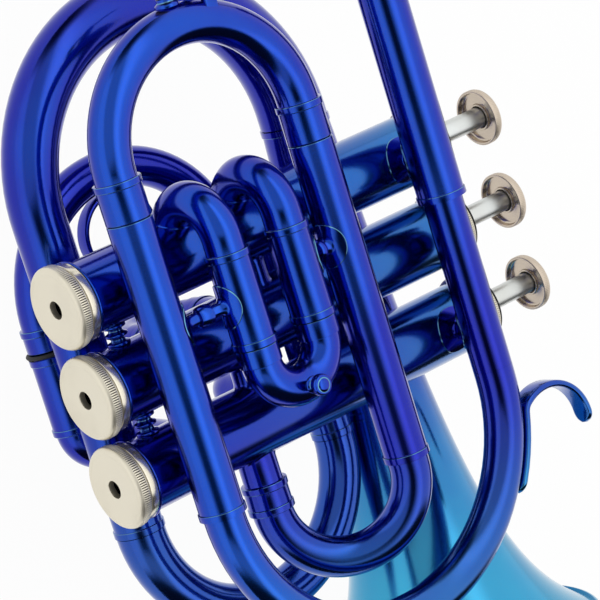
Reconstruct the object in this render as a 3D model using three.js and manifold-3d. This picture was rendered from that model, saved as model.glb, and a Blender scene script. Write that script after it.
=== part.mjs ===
// A pocket trumpet, in millimetres. X runs forward to the bell, Y runs up the valves from the bottom
// caps to the finger buttons, and Z points to the instrument's right: it lies on its left side.
import * as THREE from "three";
import { mergeVertices } from "three/addons/utils/BufferGeometryUtils.js";
import Module from "manifold-3d";

const wasm = await Module();
wasm.setup();

// Sides and steps of the faceted surfaces: counts, not sizes
const TUBE_SIDES = 12;
const VALVE_SIDES = 16;
const BELL_SIDES = 20;
const SMALL_SIDES = 10;
const BUTTON_SIDES = 14;
const HIDDEN_SLIDE_SIDES = 10;
const BORE_SIDES = 8;
const ORING_SECTION_SIDES = 6;
const LONG_BOW_STEPS = 8;
const BOW_STEPS = 6;
const ELBOW_STEPS = 3;
const HOOK_FOOT_STEPS = 4;
const HOOK_HEEL_STEPS = 3;
const HOOK_CURL_STEPS = 8;
const STRAIGHT_SHARE = 0.999999;

// Clearances
const jointGap = 0.3;
const slideFit = 0.15;
const valveFit = 0.12;
const overrun = 2;
const weld = 0.0001;

// Valve block
const valveSpacing = 26;
const casingRadius = 10.4;
const casingWall = 1.5;
const threadRadius = 10.1;
const casingFoot = 3;
const casingRingRadius = 11.4;
const casingRingWidth = 0.8;
const casingOverLeadpipe = 9.9;
const upperThreadLength = 2.8;
const balusterRadius = 3;
const balusterHeight = 16;
const knuckleHeight32 = 54;
const knuckleHeight21 = 63;

// Bottom caps
const capRadius = 12;
const capFaceRadius = 10.2;
const capLipHeight = 1.6;
const capLipShares = [
  [0, 0],
  [0.71, 0.29],
  [1, 1],
];
const capFloor = 2.2;
const capHoleRadius = 2.6;
const capKnurlEnd = 3.5;
const capGrooveRadius = 11;
const capGrooveWidth = 0.7;
const capCollarRadius = 11.4;
const capCollarEnd = 6.6;

// Top caps
const topCapHeight = 5.1;
const topCapRadius = 11.6;
const topCapShoulder = 1.2;
const topCapNeckRadius = 10.4;
const topCapRoof = 1.6;

// Pistons
const pistonFoot = 25;
const pistonTop = 96;
const barrelRadius = 7.6;
const barrelWall = 0.9;
const barrelInset = 1;
const barrelRoof = 2;
const valveTravel = 16;
const guideFoot = 98;
const guideHeight = 3;
const guideTabWidth = 2.4;
const guideTabReach = 9.35;
const springRadius = 6.1;
const springWire = 0.9;

// Stems, felts and finger buttons
const stemRadius = 3.1;
const stemFeltHeight = 0.9;
const stemFeltRadius = 10.2;
const buttonRadius = 8.4;
const buttonHeight = 3.1;
const buttonRound = 1.5;
const buttonWall = 0.8;
const buttonFloor = 1.4;
const buttonHubRadius = 4;
const buttonHubHeight = 0.8;
const buttonInlayRadius = 6;
const buttonInlayHeight = 0.6;
const buttonRise = 19.4;

// Main tubing
const tubeWall = 0.5;
const mainSleeveRadius = 6.4;
const mainSleeveWall = 0.5;
const mainBowRadius = 5.9;
const beadHeight = 0.35;
const beadWidth = 1.9;
const mainClearance = 2.2;
const lowerSleeveHeight = 18.9;
const upperSleeveHeight = 83.2;
const leadpipeHeight = 121.7;
const mainSleeveRear = -44.2;
const mainFerruleLength = 11.1;
const mainLegInsert = 62;
const lowerSleeveFront = 40.2;
const upperSleeveFront = 50.2;
const leadpipeRadius = 5.8;
const leadpipeBowRadius = 5.8;
const leadpipeBowFront = 2.2;
const stubHeight = 47;
const stubFerruleLength = 8.6;
const stubFerruleFront = 51.9;

// Mouthpiece receiver and mouthpiece
const receiverRadius = 6.9;
const receiverBore = 5.95;
const receiverRear = -108;
const receiverFront = -13.5;
const receiverRingRadius = 8.2;
const receiverRingLength = 6;
const leadpipeInsert = 20;
const shankInsert = 22;
const shankEndRadius = 4.9;
const shankMouthRadius = 5.6;
const mouthpieceLength = 87;
const mouthpieceNeckRadius = 5.4;
const cupOuterRadius = 11.5;
const rimRadius = 13.8;
const cupRadius = 8.2;
const cupDepth = 12;
const rimLength = 5;
const rimRoundShare = 0.2;
const cupFlankShare = 0.75;
const cupBodyLength = 24;
const throatRadius = 1.9;
const backboreRadius = 4.1;

// Valve slides
const slideSleeveRadius = 6.1;
const slideSleeveWall = 0.5;
const slideBowRadius = 5.65;
const firstOffset = 3;
const firstLegShares = [0.3826, 0.7107];
const firstKnuckleRear = -30;
const firstSleeveRear = -26.4;
const firstSleeveFront = 0.6;
const firstFerruleLength = 5;
const firstLegInsert = 22;
const knobRadius = 3.1;
const knobNeckRadius = 1.7;
const knobNeckHeight = 1.4;
const knobHeight = 3.4;
const knobRoundShare = 0.25;
const secondLowHeight = 41;
const secondHighHeight = 62;
const secondSleeveOuter = -26;
const secondFerruleLength = 4;
const secondLegInsert = 13;
const thirdPlane = -37;
const thirdLowHeight = 16.2;
const thirdHighHeight = 83.5;
const thirdSleeveFront = 16.1;
const thirdSleeveRear = -6.9;
const thirdFerruleRear = -15.5;
const thirdFerruleLength = 6.7;
const thirdLegInsert = 18;
const thirdElbowRadius = 8.4;
const thirdInletRadius = 8;
const oRingReach = 1.3;
const fingerRingRadius = 12.5;
const fingerRingWall = 1.4;
const fingerRingWidth = 5;

// Bell side
const branchRadius = 6.1;
const branchOverThird = 5.1;
const branchClearance = 3.6;
const branchElbowRadius = 8;
const frontBowStart = 46.8;
const lowerBranchHeight = 17.1;
const lowerBranchOffset = 1.9;
const lowerBranchFrontRadius = 7.1;
const lowerBranchRearRadius = 7.7;
const rearBowJoint = -26;
const rearBowStart = -44.8;
const bellOverThird = 28.5;
const bellClearance = 4.9;
const bellStemRadius = 10.1;
const bellJoint = -42;
const bellRim = 127;
const bellRimRadius = 46;
const bellFlareRange = 23;
const bellWall = 0.8;
const bellBeadRadius = 1.1;

// Braces and hook
const braceRodRadius = 1.9;
const braceCollarRadius = 3.3;
const braceCollarWidth = 2.6;
const saddleRadius = 7;
const saddleThickness = 0.9;
const lowBracePlace = -12.4;
const highBracePlace = -15.3;
const leadpipeBraceDrop = 2.6;
const hookThickness = 2;
const hookWidth = 7;
const hookCurl = 13.4;
const hookHeel = 4;
const hookFootDegrees = 53;
const hookHeelDegrees = 76;
const hookHeelTurnDegrees = 43;
const hookCurlTurnDegrees = 136;

// Water key on the main slide bow
const nippleRadius = 2.6;
const nippleHeight = 2.2;
const nippleBore = 1.4;
const keyPadRadius = 3.2;
const keyPadHeight = 2;
const keyThickness = 1.6;
const keyWidth = 5;
const keyArm = 11;
const keyTouch = 17;
const keyPostWidth = 2;
const keyPostHeight = 7.4;
const keyPinRadius = 0.9;
const keySpringRadius = 1.9;
const keySpringShare = 1 / 3;

// Finishes read from the photograph
const lacquer = () => new THREE.MeshStandardMaterial({ color: 0x2340c0, metalness: 0.9, roughness: 0.18 });
const nickel = () => new THREE.MeshStandardMaterial({ color: 0xe1dacd, metalness: 0.8, roughness: 0.35 });
const silver = () => new THREE.MeshStandardMaterial({ color: 0xd8dcdc, metalness: 0.9, roughness: 0.25 });
const steel = () => new THREE.MeshStandardMaterial({ color: 0x9a9da0, metalness: 0.9, roughness: 0.35 });
const blackRubber = () => new THREE.MeshStandardMaterial({ color: 0x151515, metalness: 0, roughness: 0.8 });
const blackFelt = () => new THREE.MeshStandardMaterial({ color: 0x101010, metalness: 0, roughness: 1 });
const whiteNylon = () => new THREE.MeshStandardMaterial({ color: 0xe8e6df, metalness: 0, roughness: 0.5 });
const cork = () => new THREE.MeshStandardMaterial({ color: 0xb58a5a, metalness: 0, roughness: 0.9 });

const X = new THREE.Vector3(1, 0, 0);
const Y = new THREE.Vector3(0, 1, 0);
const Z = new THREE.Vector3(0, 0, 1);
const REAR = X.clone().negate();
const DOWN = Y.clone().negate();
const LEFT = Z.clone().negate();
const place = (x, y, z) => new THREE.Vector3(x, y, z);

// Turns a closed geometry into a solid that can be joined and cut
function solid(geometry) {
  const bare = geometry.index ? geometry.toNonIndexed() : geometry.clone();
  bare.deleteAttribute("normal");
  bare.deleteAttribute("uv");
  const merged = mergeVertices(bare, weld);
  const vertProperties = merged.attributes.position.array;
  const triVerts = new Uint32Array(merged.index.array);
  return new wasm.Manifold(new wasm.Mesh({ numProp: 3, vertProperties, triVerts }));
}

function geometryOf(body) {
  const mesh = body.getMesh();
  const geometry = new THREE.BufferGeometry();
  geometry.setAttribute("position", new THREE.BufferAttribute(mesh.vertProperties, mesh.numProp));
  geometry.setIndex(new THREE.BufferAttribute(mesh.triVerts, 1));
  geometry.computeVertexNormals();
  return geometry;
}

const cut = (geometry, ...tools) =>
  geometryOf(tools.reduce((body, tool) => body.subtract(solid(tool)), solid(geometry)));
const join = (geometry, ...others) =>
  geometryOf(others.reduce((body, other) => body.add(solid(other)), solid(geometry)));

// A tube's wall, drawn as rings along a route of straight runs and bends. Its radius can step on the spot.
class Tube {
  constructor(at, heading, normal, sides = TUBE_SIDES) {
    this.at = at.clone();
    this.heading = heading.clone();
    this.normal = normal.clone();
    this.sides = sides;
    this.outer = [];
    this.inner = [];
  }

  ring(radius) {
    const across = new THREE.Vector3().crossVectors(this.heading, this.normal);
    const points = [];
    for (let i = 0; i < this.sides; i += 1) {
      const turn = (2 * Math.PI * i) / this.sides;
      const point = this.at.clone();
      point.addScaledVector(this.normal, radius * Math.cos(turn));
      point.addScaledVector(across, radius * Math.sin(turn));
      points.push(point);
    }
    return points;
  }

  walls(outerRadius, innerRadius) {
    if (this.outerRadius !== outerRadius || this.moved) this.outer.push(this.ring(outerRadius));
    if (this.innerRadius !== innerRadius || this.moved) this.inner.push(this.ring(innerRadius));
    this.outerRadius = outerRadius;
    this.innerRadius = innerRadius;
    this.moved = false;
    return this;
  }

  // Leaves out the rings that lie on a straight and even stretch between their neighbours
  static needed(rings) {
    return rings.filter((ring, i) => {
      if (i === 0 || i === rings.length - 1) return true;
      const before = new THREE.Vector3().subVectors(ring[0], rings[i - 1][0]).normalize();
      const after = new THREE.Vector3().subVectors(rings[i + 1][0], ring[0]).normalize();
      return before.dot(after) < STRAIGHT_SHARE;
    });
  }

  run(length, outerRadius = this.outerRadius, innerRadius = this.innerRadius) {
    this.at.addScaledVector(this.heading, length);
    this.moved = true;
    return this.walls(outerRadius, innerRadius);
  }

  bend(radius, toward, angle, steps, outerRadius = this.outerRadius, innerRadius = this.innerRadius) {
    const [outerStart, innerStart] = [this.outerRadius, this.innerRadius];
    const side = toward.clone().addScaledVector(this.heading, -toward.dot(this.heading)).normalize();
    const centre = this.at.clone().addScaledVector(side, radius);
    const axis = new THREE.Vector3().crossVectors(this.heading, side);
    const step = new THREE.Quaternion().setFromAxisAngle(axis, angle / steps);
    for (let i = 1; i <= steps; i += 1) {
      this.at.sub(centre).applyQuaternion(step).add(centre);
      this.heading.applyQuaternion(step);
      this.normal.applyQuaternion(step);
      this.moved = true;
      const share = i / steps;
      this.walls(
        THREE.MathUtils.lerp(outerStart, outerRadius, share),
        THREE.MathUtils.lerp(innerStart, innerRadius, share),
      );
    }
    return this;
  }

  // Closes the outer skin to the inner skin, or caps a solid rod that has no bore
  geometry() {
    const hollow = this.inner[0][0].distanceTo(this.inner[0][1]) > 0;
    const skin = Tube.needed(this.outer);
    const rings = hollow ? [...skin, ...Tube.needed(this.inner).reverse()] : skin;
    const positions = [];
    const corners = (...points) => points.forEach(({ x, y, z }) => positions.push(x, y, z));
    const quad = (a, b, c, d) => corners(a, b, c, a, c, d);
    const last = hollow ? rings.length : rings.length - 1;
    for (let i = 0; i < last; i += 1) {
      const [from, to] = [rings[i], rings[(i + 1) % rings.length]];
      for (let k = 0; k < this.sides; k += 1) {
        const next = (k + 1) % this.sides;
        quad(from[k], from[next], to[next], to[k]);
      }
    }
    if (!hollow) {
      const [first, end] = [rings[0], rings[rings.length - 1]];
      for (let k = 1; k < this.sides - 1; k += 1) {
        corners(first[0], first[k + 1], first[k], end[0], end[k], end[k + 1]);
      }
    }
    const shape = new THREE.BufferGeometry();
    shape.setAttribute("position", new THREE.Float32BufferAttribute(positions, 3));
    shape.computeVertexNormals();
    return shape;
  }
}

const tube = (at, heading, normal, outerRadius, innerRadius, sides) =>
  new Tube(at, heading, normal, sides).walls(outerRadius, innerRadius);

// A round bar between two points, for rods and for cutting bores
function bar(from, to, radius, sides = SMALL_SIDES) {
  const along = new THREE.Vector3().subVectors(to, from);
  const geometry = new THREE.CylinderGeometry(radius, radius, along.length(), sides);
  geometry.translate(0, along.length() / 2, 0);
  geometry.applyQuaternion(new THREE.Quaternion().setFromUnitVectors(Y, along.normalize()));
  return geometry.translate(from.x, from.y, from.z);
}

// A turned piece about the valve axis. Its outline starts and ends on the axis or closes on itself.
const turned = (outline, sides = VALVE_SIDES) =>
  new THREE.LatheGeometry(outline.map(([radius, height]) => new THREE.Vector2(radius, height)), sides);

const trumpet = new THREE.Group();

function piece(name, geometry, material, at = place(0, 0, 0)) {
  const mesh = new THREE.Mesh(geometry, material);
  mesh.name = name;
  mesh.position.copy(at);
  trumpet.add(mesh);
  return mesh;
}

// Heights and planes that follow from the sizes of their neighbours
const casingShoulderLow = capCollarEnd + jointGap;
const casingShoulderHigh = leadpipeHeight + casingOverLeadpipe;
const casingTop = casingShoulderHigh + upperThreadLength;
const topCapFoot = casingShoulderHigh + jointGap;
const barrelTop = casingTop - barrelInset;
const mainPlane = casingRadius + mainClearance + mainSleeveRadius;
const firstPlane = mainPlane + firstOffset;
const [firstLowHeight, firstHighHeight] = firstLegShares.map((share) =>
  THREE.MathUtils.lerp(lowerSleeveHeight, upperSleeveHeight, share),
);
const branchHeight = thirdHighHeight + branchOverThird;
const branchPlane = -(casingRadius + branchClearance + branchRadius);
const lowerBranchPlane = branchPlane - lowerBranchOffset;
const bellHeight = thirdHighHeight + bellOverThird;
const bellPlane = -(casingRadius + bellClearance + bellStemRadius);
const leadpipeBraceHeight = leadpipeHeight - leadpipeBraceDrop;

const valvePlaces = [-valveSpacing, 0, valveSpacing];
const pistonRadius = casingRadius - casingWall - valveFit;
const casingBore = casingRadius - casingWall;
const slideTubeRadius = slideSleeveRadius - slideSleeveWall - slideFit;
const slideTubeBore = slideTubeRadius - tubeWall;
const slideBore = slideSleeveRadius - slideSleeveWall;
const mainTubeRadius = mainSleeveRadius - mainSleeveWall - slideFit;
const mainTubeBore = mainTubeRadius - tubeWall;
const mainBore = mainSleeveRadius - mainSleeveWall;

// The body of a valve casing with room around it, to trim what is soldered to it
const casingTool = (x) =>
  bar(place(x, casingFoot, 0), place(x, casingTop, 0), casingRadius + jointGap, VALVE_SIDES);

// Bores that join a casing to the tubes at its ports
const portReach = valveSpacing - casingRadius + overrun;
const portTool = (at, heading) =>
  bar(at, at.clone().addScaledVector(heading, portReach), slideTubeBore, BORE_SIDES);

// Valve casings: tubes with a thread at each end, a ring over the bottom cap and a keyway for the guide
function casing() {
  const outline = [
    [casingBore, casingFoot],
    [threadRadius, casingFoot],
    [threadRadius, casingShoulderLow],
    [casingRingRadius, casingShoulderLow],
    [casingRingRadius, casingShoulderLow + casingRingWidth],
    [casingRadius, casingShoulderLow + casingRingWidth],
    [casingRadius, casingShoulderHigh],
    [threadRadius, casingShoulderHigh],
    [threadRadius, casingTop],
    [casingBore, casingTop],
    [casingBore, casingFoot],
  ];
  const keyway = new THREE.BoxGeometry(
    guideTabWidth + 2 * valveFit,
    casingTop - guideFoot + overrun,
    2 * (guideTabReach + valveFit),
  );
  keyway.translate(0, (casingTop + guideFoot - jointGap + overrun) / 2, 0);
  return cut(turned(outline), keyway);
}

const [firstCasing, middleCasing, lastCasing] = valvePlaces;
const thirdInletLow = thirdLowHeight + thirdElbowRadius + thirdInletRadius;
const thirdInletHigh = thirdHighHeight - thirdElbowRadius - thirdInletRadius;
const branchPort = branchHeight - 2 * branchElbowRadius;
const thirdInletTurn = Math.atan2(lastCasing - thirdSleeveFront - thirdElbowRadius, -thirdPlane);
const thirdInward = place(Math.sin(thirdInletTurn), 0, Math.cos(thirdInletTurn));

// Each valve's ports: the height, and the way that the tube leaves the casing
const ports = [
  [
    [firstLowHeight, REAR],
    [firstHighHeight, REAR],
    [knuckleHeight21, X],
    [branchPort, LEFT],
  ],
  [
    [knuckleHeight21, REAR],
    [knuckleHeight32, X],
    [secondLowHeight, LEFT],
    [secondHighHeight, LEFT],
  ],
  [
    [knuckleHeight32, REAR],
    [stubHeight, X],
    [thirdInletLow, thirdInward.clone().negate()],
    [thirdInletHigh, thirdInward.clone().negate()],
  ],
];

// The middle casing carries the knuckles that take the air from casing to casing, and small balusters
function linkedCasing() {
  const links = [
    [knuckleHeight21, firstCasing, slideBowRadius],
    [knuckleHeight32, lastCasing, slideBowRadius],
    [balusterHeight, firstCasing, balusterRadius],
    [balusterHeight, lastCasing, balusterRadius],
  ].map(([height, neighbour, radius]) =>
    solid(bar(place(middleCasing, height, 0), place(neighbour, height, 0), radius))
      .subtract(solid(casingTool(neighbour))),
  );
  const bore = bar(
    place(middleCasing, casingFoot - overrun, 0),
    place(middleCasing, casingTop + overrun, 0),
    casingRadius - casingWall / 2,
    VALVE_SIDES,
  );
  const trimmed = links.map((link) => link.subtract(solid(bore)));
  return geometryOf(trimmed.reduce((body, link) => body.add(link), solid(casing())));
}

valvePlaces.forEach((x, index) => {
  const bores = ports[index].map(([height, heading]) => portTool(place(0, height, 0), heading));
  const body = x === middleCasing ? linkedCasing() : casing();
  piece(`valve_casing_${index + 1}`, cut(body, ...bores), lacquer(), place(x, 0, 0));
});

// Bottom caps: a knurled cup with a vent hole, a groove and a smooth collar, screwed on the casing's foot
const bottomCap = turned([
  [capHoleRadius, 0],
  ...capLipShares.map(([out, up]) => [
    THREE.MathUtils.lerp(capFaceRadius, capRadius, out),
    capLipHeight * up,
  ]),
  [capRadius, capKnurlEnd],
  [capGrooveRadius, capKnurlEnd],
  [capGrooveRadius, capKnurlEnd + capGrooveWidth],
  [capCollarRadius, capKnurlEnd + capGrooveWidth],
  [capCollarRadius, capCollarEnd],
  [threadRadius + jointGap, capCollarEnd],
  [threadRadius + jointGap, capFloor],
  [capHoleRadius, capFloor],
  [capHoleRadius, 0],
]);

// Top caps: a knurled skirt on the casing's upper thread, and a neck that the stem passes through
const topCapTop = topCapFoot + topCapHeight;
const topCap = turned([
  [threadRadius + jointGap, topCapFoot],
  [topCapRadius, topCapFoot],
  [topCapRadius, topCapTop - topCapShoulder],
  [topCapNeckRadius, topCapTop],
  [stemRadius + jointGap, topCapTop],
  [stemRadius + jointGap, topCapTop - topCapRoof],
  [threadRadius + jointGap, topCapTop - topCapRoof - topCapShoulder / 2],
  [threadRadius + jointGap, topCapFoot],
]);

// Stem felts: black rings that rest on the top caps and take the button's blow
const feltTop = topCapTop + stemFeltHeight;
const stemFelt = turned([
  [stemRadius + jointGap, topCapTop],
  [stemFeltRadius, topCapTop],
  [stemFeltRadius, feltTop],
  [stemRadius + jointGap, feltTop],
  [stemRadius + jointGap, topCapTop],
]);

// Pistons: a barrel-topped plug with three windways across it, one of them met only when it is pressed
function piston(index) {
  const plug = turned([
    [0, pistonFoot],
    [pistonRadius, pistonFoot],
    [pistonRadius, pistonTop],
    [barrelRadius, pistonTop],
    [barrelRadius, barrelTop],
    [0, barrelTop],
    [0, barrelTop - barrelRoof],
    [barrelRadius - barrelWall, barrelTop - barrelRoof],
    [barrelRadius - barrelWall, pistonTop],
    [0, pistonTop],
  ]);
  const slot = new THREE.BoxGeometry(
    guideTabWidth + 2 * valveFit,
    guideHeight + valveTravel + 2 * jointGap,
    2 * (barrelRadius + overrun),
  );
  slot.translate(0, guideFoot + (guideHeight + valveTravel) / 2, 0);
  const windways = ports[index].slice(0, 3).map(([height, heading], level) => {
    const middle = place(0, height + (level === 2 ? valveTravel : 0), 0);
    const reach = pistonRadius + overrun;
    const [from, to] = [-reach, reach].map((step) => middle.clone().addScaledVector(heading, step));
    return bar(from, to, slideTubeBore, BORE_SIDES);
  });
  return cut(plug, slot, ...windways);
}

// Valve guides: a disc whose two tabs pass through the barrel's slots into the casing's keyways
function valveGuide() {
  const discRadius = barrelRadius - barrelWall - jointGap;
  const disc = bar(place(0, guideFoot, 0), place(0, guideFoot + guideHeight, 0), discRadius);
  const tabs = new THREE.BoxGeometry(guideTabWidth - 2 * valveFit, guideHeight, 2 * guideTabReach);
  tabs.translate(0, guideFoot + guideHeight / 2, 0);
  return join(disc, tabs);
}

const springFoot = guideFoot + guideHeight + jointGap;
const springTop = barrelTop - barrelRoof - jointGap;
const valveSpring = turned(
  [
    [springRadius - springWire, springFoot],
    [springRadius, springFoot],
    [springRadius, springTop],
    [springRadius - springWire, springTop],
    [springRadius - springWire, springFoot],
  ],
  SMALL_SIDES,
);

// Stems and finger buttons: the button is hollow below, with a low hub round the stem and an inlay on top
const buttonFoot = feltTop + buttonRise;
const buttonEdge = buttonFoot + buttonHeight;
const buttonTop = buttonEdge + buttonInlayHeight;
const buttonRoof = buttonEdge - buttonFloor;
const stemTop = buttonEdge - 2 * jointGap;
const valveStem = bar(place(0, barrelTop + jointGap, 0), place(0, stemTop, 0), stemRadius);
const fingerButton = turned(
  [
    [stemRadius + jointGap, buttonRoof - buttonHubHeight],
    [buttonHubRadius, buttonRoof - buttonHubHeight],
    [buttonHubRadius, buttonRoof],
    [buttonRadius - buttonWall, buttonRoof],
    [buttonRadius - buttonWall, buttonFoot],
    [buttonRadius, buttonFoot],
    [buttonRadius, buttonEdge - buttonRound],
    [buttonRadius - buttonRound, buttonEdge],
    [buttonInlayRadius, buttonEdge],
    [buttonInlayRadius, buttonTop],
    [0, buttonTop],
    [0, stemTop + jointGap],
    [stemRadius + jointGap, stemTop + jointGap],
    [stemRadius + jointGap, buttonRoof - buttonHubHeight],
  ],
  BUTTON_SIDES,
);

valvePlaces.forEach((x, index) => {
  const number = index + 1;
  const at = place(x, 0, 0);
  piece(`bottom_cap_${number}`, bottomCap, nickel(), at);
  piece(`top_cap_${number}`, topCap, nickel(), at);
  piece(`stem_felt_${number}`, stemFelt, blackFelt(), at);
  piece(`piston_${number}`, piston(index), silver(), at);
  piece(`valve_guide_${number}`, valveGuide(), whiteNylon(), at);
  piece(`valve_spring_${number}`, valveSpring, steel(), at);
  piece(`valve_stem_${number}`, valveStem, silver(), at);
  piece(`finger_button_${number}`, fingerButton, nickel(), at);
});

// Main tuning slide: two fixed sleeves, and a bow with two inner tubes that pulls out rearward
const mainBowStart = mainSleeveRear - jointGap - mainFerruleLength;
const mainHalfSpan = (upperSleeveHeight - lowerSleeveHeight) / 2;

function mainSleeve(height, front) {
  return tube(place(mainSleeveRear, height, mainPlane), X, Y, mainSleeveRadius, mainBore)
    .run(front - beadWidth - mainSleeveRear)
    .walls(mainSleeveRadius + beadHeight, mainBore)
    .run(beadWidth)
    .geometry();
}
piece("main_slide_lower_sleeve", mainSleeve(lowerSleeveHeight, lowerSleeveFront), lacquer());
piece("main_slide_upper_sleeve", mainSleeve(upperSleeveHeight, upperSleeveFront), lacquer());

const mainSlideLegEnd = mainBowStart + mainFerruleLength + mainLegInsert;
const mainSlideEnd = place(mainSlideLegEnd, lowerSleeveHeight, mainPlane);
const mainSlide = tube(mainSlideEnd, REAR, Y, mainTubeRadius, mainTubeBore)
  .run(mainLegInsert)
  .walls(mainSleeveRadius, mainTubeBore)
  .run(mainFerruleLength - beadWidth)
  .walls(mainSleeveRadius + beadHeight, mainTubeBore)
  .run(beadWidth)
  .walls(mainBowRadius, mainTubeBore)
  .bend(mainHalfSpan, Y, Math.PI, LONG_BOW_STEPS)
  .walls(mainSleeveRadius + beadHeight, mainTubeBore)
  .run(beadWidth)
  .walls(mainSleeveRadius, mainTubeBore)
  .run(mainFerruleLength - beadWidth)
  .walls(mainTubeRadius, mainTubeBore)
  .run(mainLegInsert)
  .geometry();

// Water key: a nipple and two posts on the bow, a sprung lever on a pin, and a cork pad
const bowCrown = place(mainBowStart - mainHalfSpan, lowerSleeveHeight + mainHalfSpan, mainPlane);
const crownSkin = bowCrown.x - mainBowRadius;
const nippleTop = crownSkin - nippleHeight;
const nipple = bar(bowCrown, place(nippleTop, bowCrown.y, bowCrown.z), nippleRadius);
const nippleHole = bar(
  place(bowCrown.x, bowCrown.y, bowCrown.z),
  place(nippleTop - overrun, bowCrown.y, bowCrown.z),
  nippleBore,
);
const keyPivot = place(crownSkin - keyPostHeight + keyPinRadius * 2, bowCrown.y + keyArm, mainPlane);
const keyBar = nippleTop - keyPadHeight - 2 * jointGap - keyThickness / 2;
const keyPostFoot = mainBowStart - Math.sqrt(mainHalfSpan ** 2 - keyArm ** 2);
const keyPostTop = crownSkin - keyPostHeight;
const keyPosts = [-1, 1].map((side) => {
  const post = new THREE.BoxGeometry(keyPostFoot - keyPostTop, keyPostWidth * 2, keyPostWidth);
  const across = mainPlane + side * (keyWidth / 2 + jointGap + keyPostWidth / 2);
  return post.translate((keyPostFoot + keyPostTop) / 2, keyPivot.y, across);
});
const keyPin = bar(
  place(keyPivot.x, keyPivot.y, mainPlane - keyWidth / 2 - keyPostWidth),
  place(keyPivot.x, keyPivot.y, mainPlane + keyWidth / 2 + keyPostWidth),
  keyPinRadius,
  BORE_SIDES,
);
const bowBore = tube(place(mainBowStart, lowerSleeveHeight, mainPlane), REAR, Y, mainTubeBore, 0)
  .bend(mainHalfSpan, Y, Math.PI, LONG_BOW_STEPS)
  .geometry();
const slideWithPosts = solid(mainSlide)
  .add(solid(nipple))
  .add(solid(keyPosts[0]))
  .add(solid(keyPosts[1]))
  .subtract(solid(bowBore))
  .subtract(solid(nippleHole))
  .add(solid(keyPin));
piece("main_tuning_slide", geometryOf(slideWithPosts), lacquer());

const keySpringRoom = (keyWidth * keySpringShare) / 2;

function waterKey() {
  const lever = new THREE.BoxGeometry(keyThickness, keyArm + keyTouch + keyPadRadius, keyWidth);
  lever.translate(keyBar, keyPivot.y + (keyTouch - keyArm - keyPadRadius) / 2, mainPlane);
  const barrel = bar(
    place(keyPivot.x, keyPivot.y, mainPlane - keyWidth / 2),
    place(keyPivot.x, keyPivot.y, mainPlane + keyWidth / 2),
    keyPinRadius + keyThickness,
  );
  const bore = bar(
    place(keyPivot.x, keyPivot.y, mainPlane - keyWidth),
    place(keyPivot.x, keyPivot.y, mainPlane + keyWidth),
    keyPinRadius + slideFit,
  );
  const springRoom = bar(
    place(keyPivot.x, keyPivot.y, mainPlane - keySpringRoom),
    place(keyPivot.x, keyPivot.y, mainPlane + keySpringRoom),
    keySpringRadius + 2 * jointGap,
  );
  return cut(join(lever, barrel), springRoom, bore);
}

// Leadpipe side
const leadpipeBowStart = lowerSleeveFront + jointGap;
const leadpipeHalfSpan = (leadpipeHeight - lowerSleeveHeight) / 2;
const leadpipeEnd = leadpipeBowStart - leadpipeBowFront;
piece(
  "leadpipe_bow",
  tube(place(leadpipeBowStart, lowerSleeveHeight, mainPlane), X, Y, leadpipeBowRadius, mainTubeBore)
    .bend(leadpipeHalfSpan, Y, Math.PI, LONG_BOW_STEPS)
    .run(leadpipeBowFront)
    .geometry(),
  lacquer(),
);
piece(
  "leadpipe",
  tube(
    place(receiverFront - leadpipeInsert, leadpipeHeight, mainPlane),
    X,
    Y,
    leadpipeRadius,
    mainTubeBore - tubeWall,
  )
    .run(leadpipeEnd - jointGap - receiverFront + leadpipeInsert)
    .geometry(),
  lacquer(),
);
piece(
  "mouthpiece_receiver",
  tube(place(receiverRear, leadpipeHeight, mainPlane), X, Y, receiverRingRadius, receiverBore)
    .run(receiverRingLength)
    .walls(receiverRadius, receiverBore)
    .run(receiverFront - receiverRear - receiverRingLength - beadWidth)
    .walls(receiverRadius + beadHeight, receiverBore)
    .run(beadWidth)
    .geometry(),
  lacquer(),
);

// Mouthpiece: a turned cup, throat, backbore and tapered shank
function mouthpiece() {
  const rimRound = rimLength * rimRoundShare;
  const outline = [
    [cupRadius, 0],
    [rimRadius - rimRound, 0],
    [rimRadius, rimRound],
    [rimRadius, rimLength - rimRound],
    [cupOuterRadius, rimLength],
    [cupOuterRadius, cupDepth],
    [mouthpieceNeckRadius, cupBodyLength],
    [shankMouthRadius, mouthpieceLength - shankInsert],
    [shankEndRadius, mouthpieceLength],
    [backboreRadius, mouthpieceLength],
    [throatRadius, cupDepth + throatRadius],
    [throatRadius, cupDepth],
    [cupRadius * cupFlankShare, cupDepth / 2],
    [cupRadius, 0],
  ];
  return turned(outline, VALVE_SIDES).rotateZ(-Math.PI / 2);
}
const mouthpieceRear = receiverRear + shankInsert - mouthpieceLength;
piece("mouthpiece", mouthpiece(), silver(), place(mouthpieceRear, leadpipeHeight, mainPlane));

// Front crook: from the upper main sleeve back into the third valve's front port
const crookDrop = place(0, stubHeight - upperSleeveHeight, -mainPlane);
const crookFoot = place(upperSleeveFront + jointGap, upperSleeveHeight, mainPlane);
const crookNormal = crookDrop.clone().normalize();
const frontCrook = tube(crookFoot, X, crookNormal, mainBowRadius, mainTubeBore)
  .run(stubFerruleFront - crookFoot.x)
  .bend(crookDrop.length() / 2, crookDrop, Math.PI, BOW_STEPS)
  .walls(mainSleeveRadius + beadHeight, mainTubeBore)
  .run(beadWidth)
  .walls(mainSleeveRadius, mainTubeBore)
  .run(stubFerruleLength - 2 * beadWidth)
  .walls(mainSleeveRadius + beadHeight, mainTubeBore)
  .run(beadWidth)
  .walls(slideBowRadius, mainTubeBore)
  .run(stubFerruleFront - stubFerruleLength - lastCasing)
  .geometry();
piece("front_crook", cut(frontCrook, casingTool(lastCasing)), lacquer());

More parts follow.
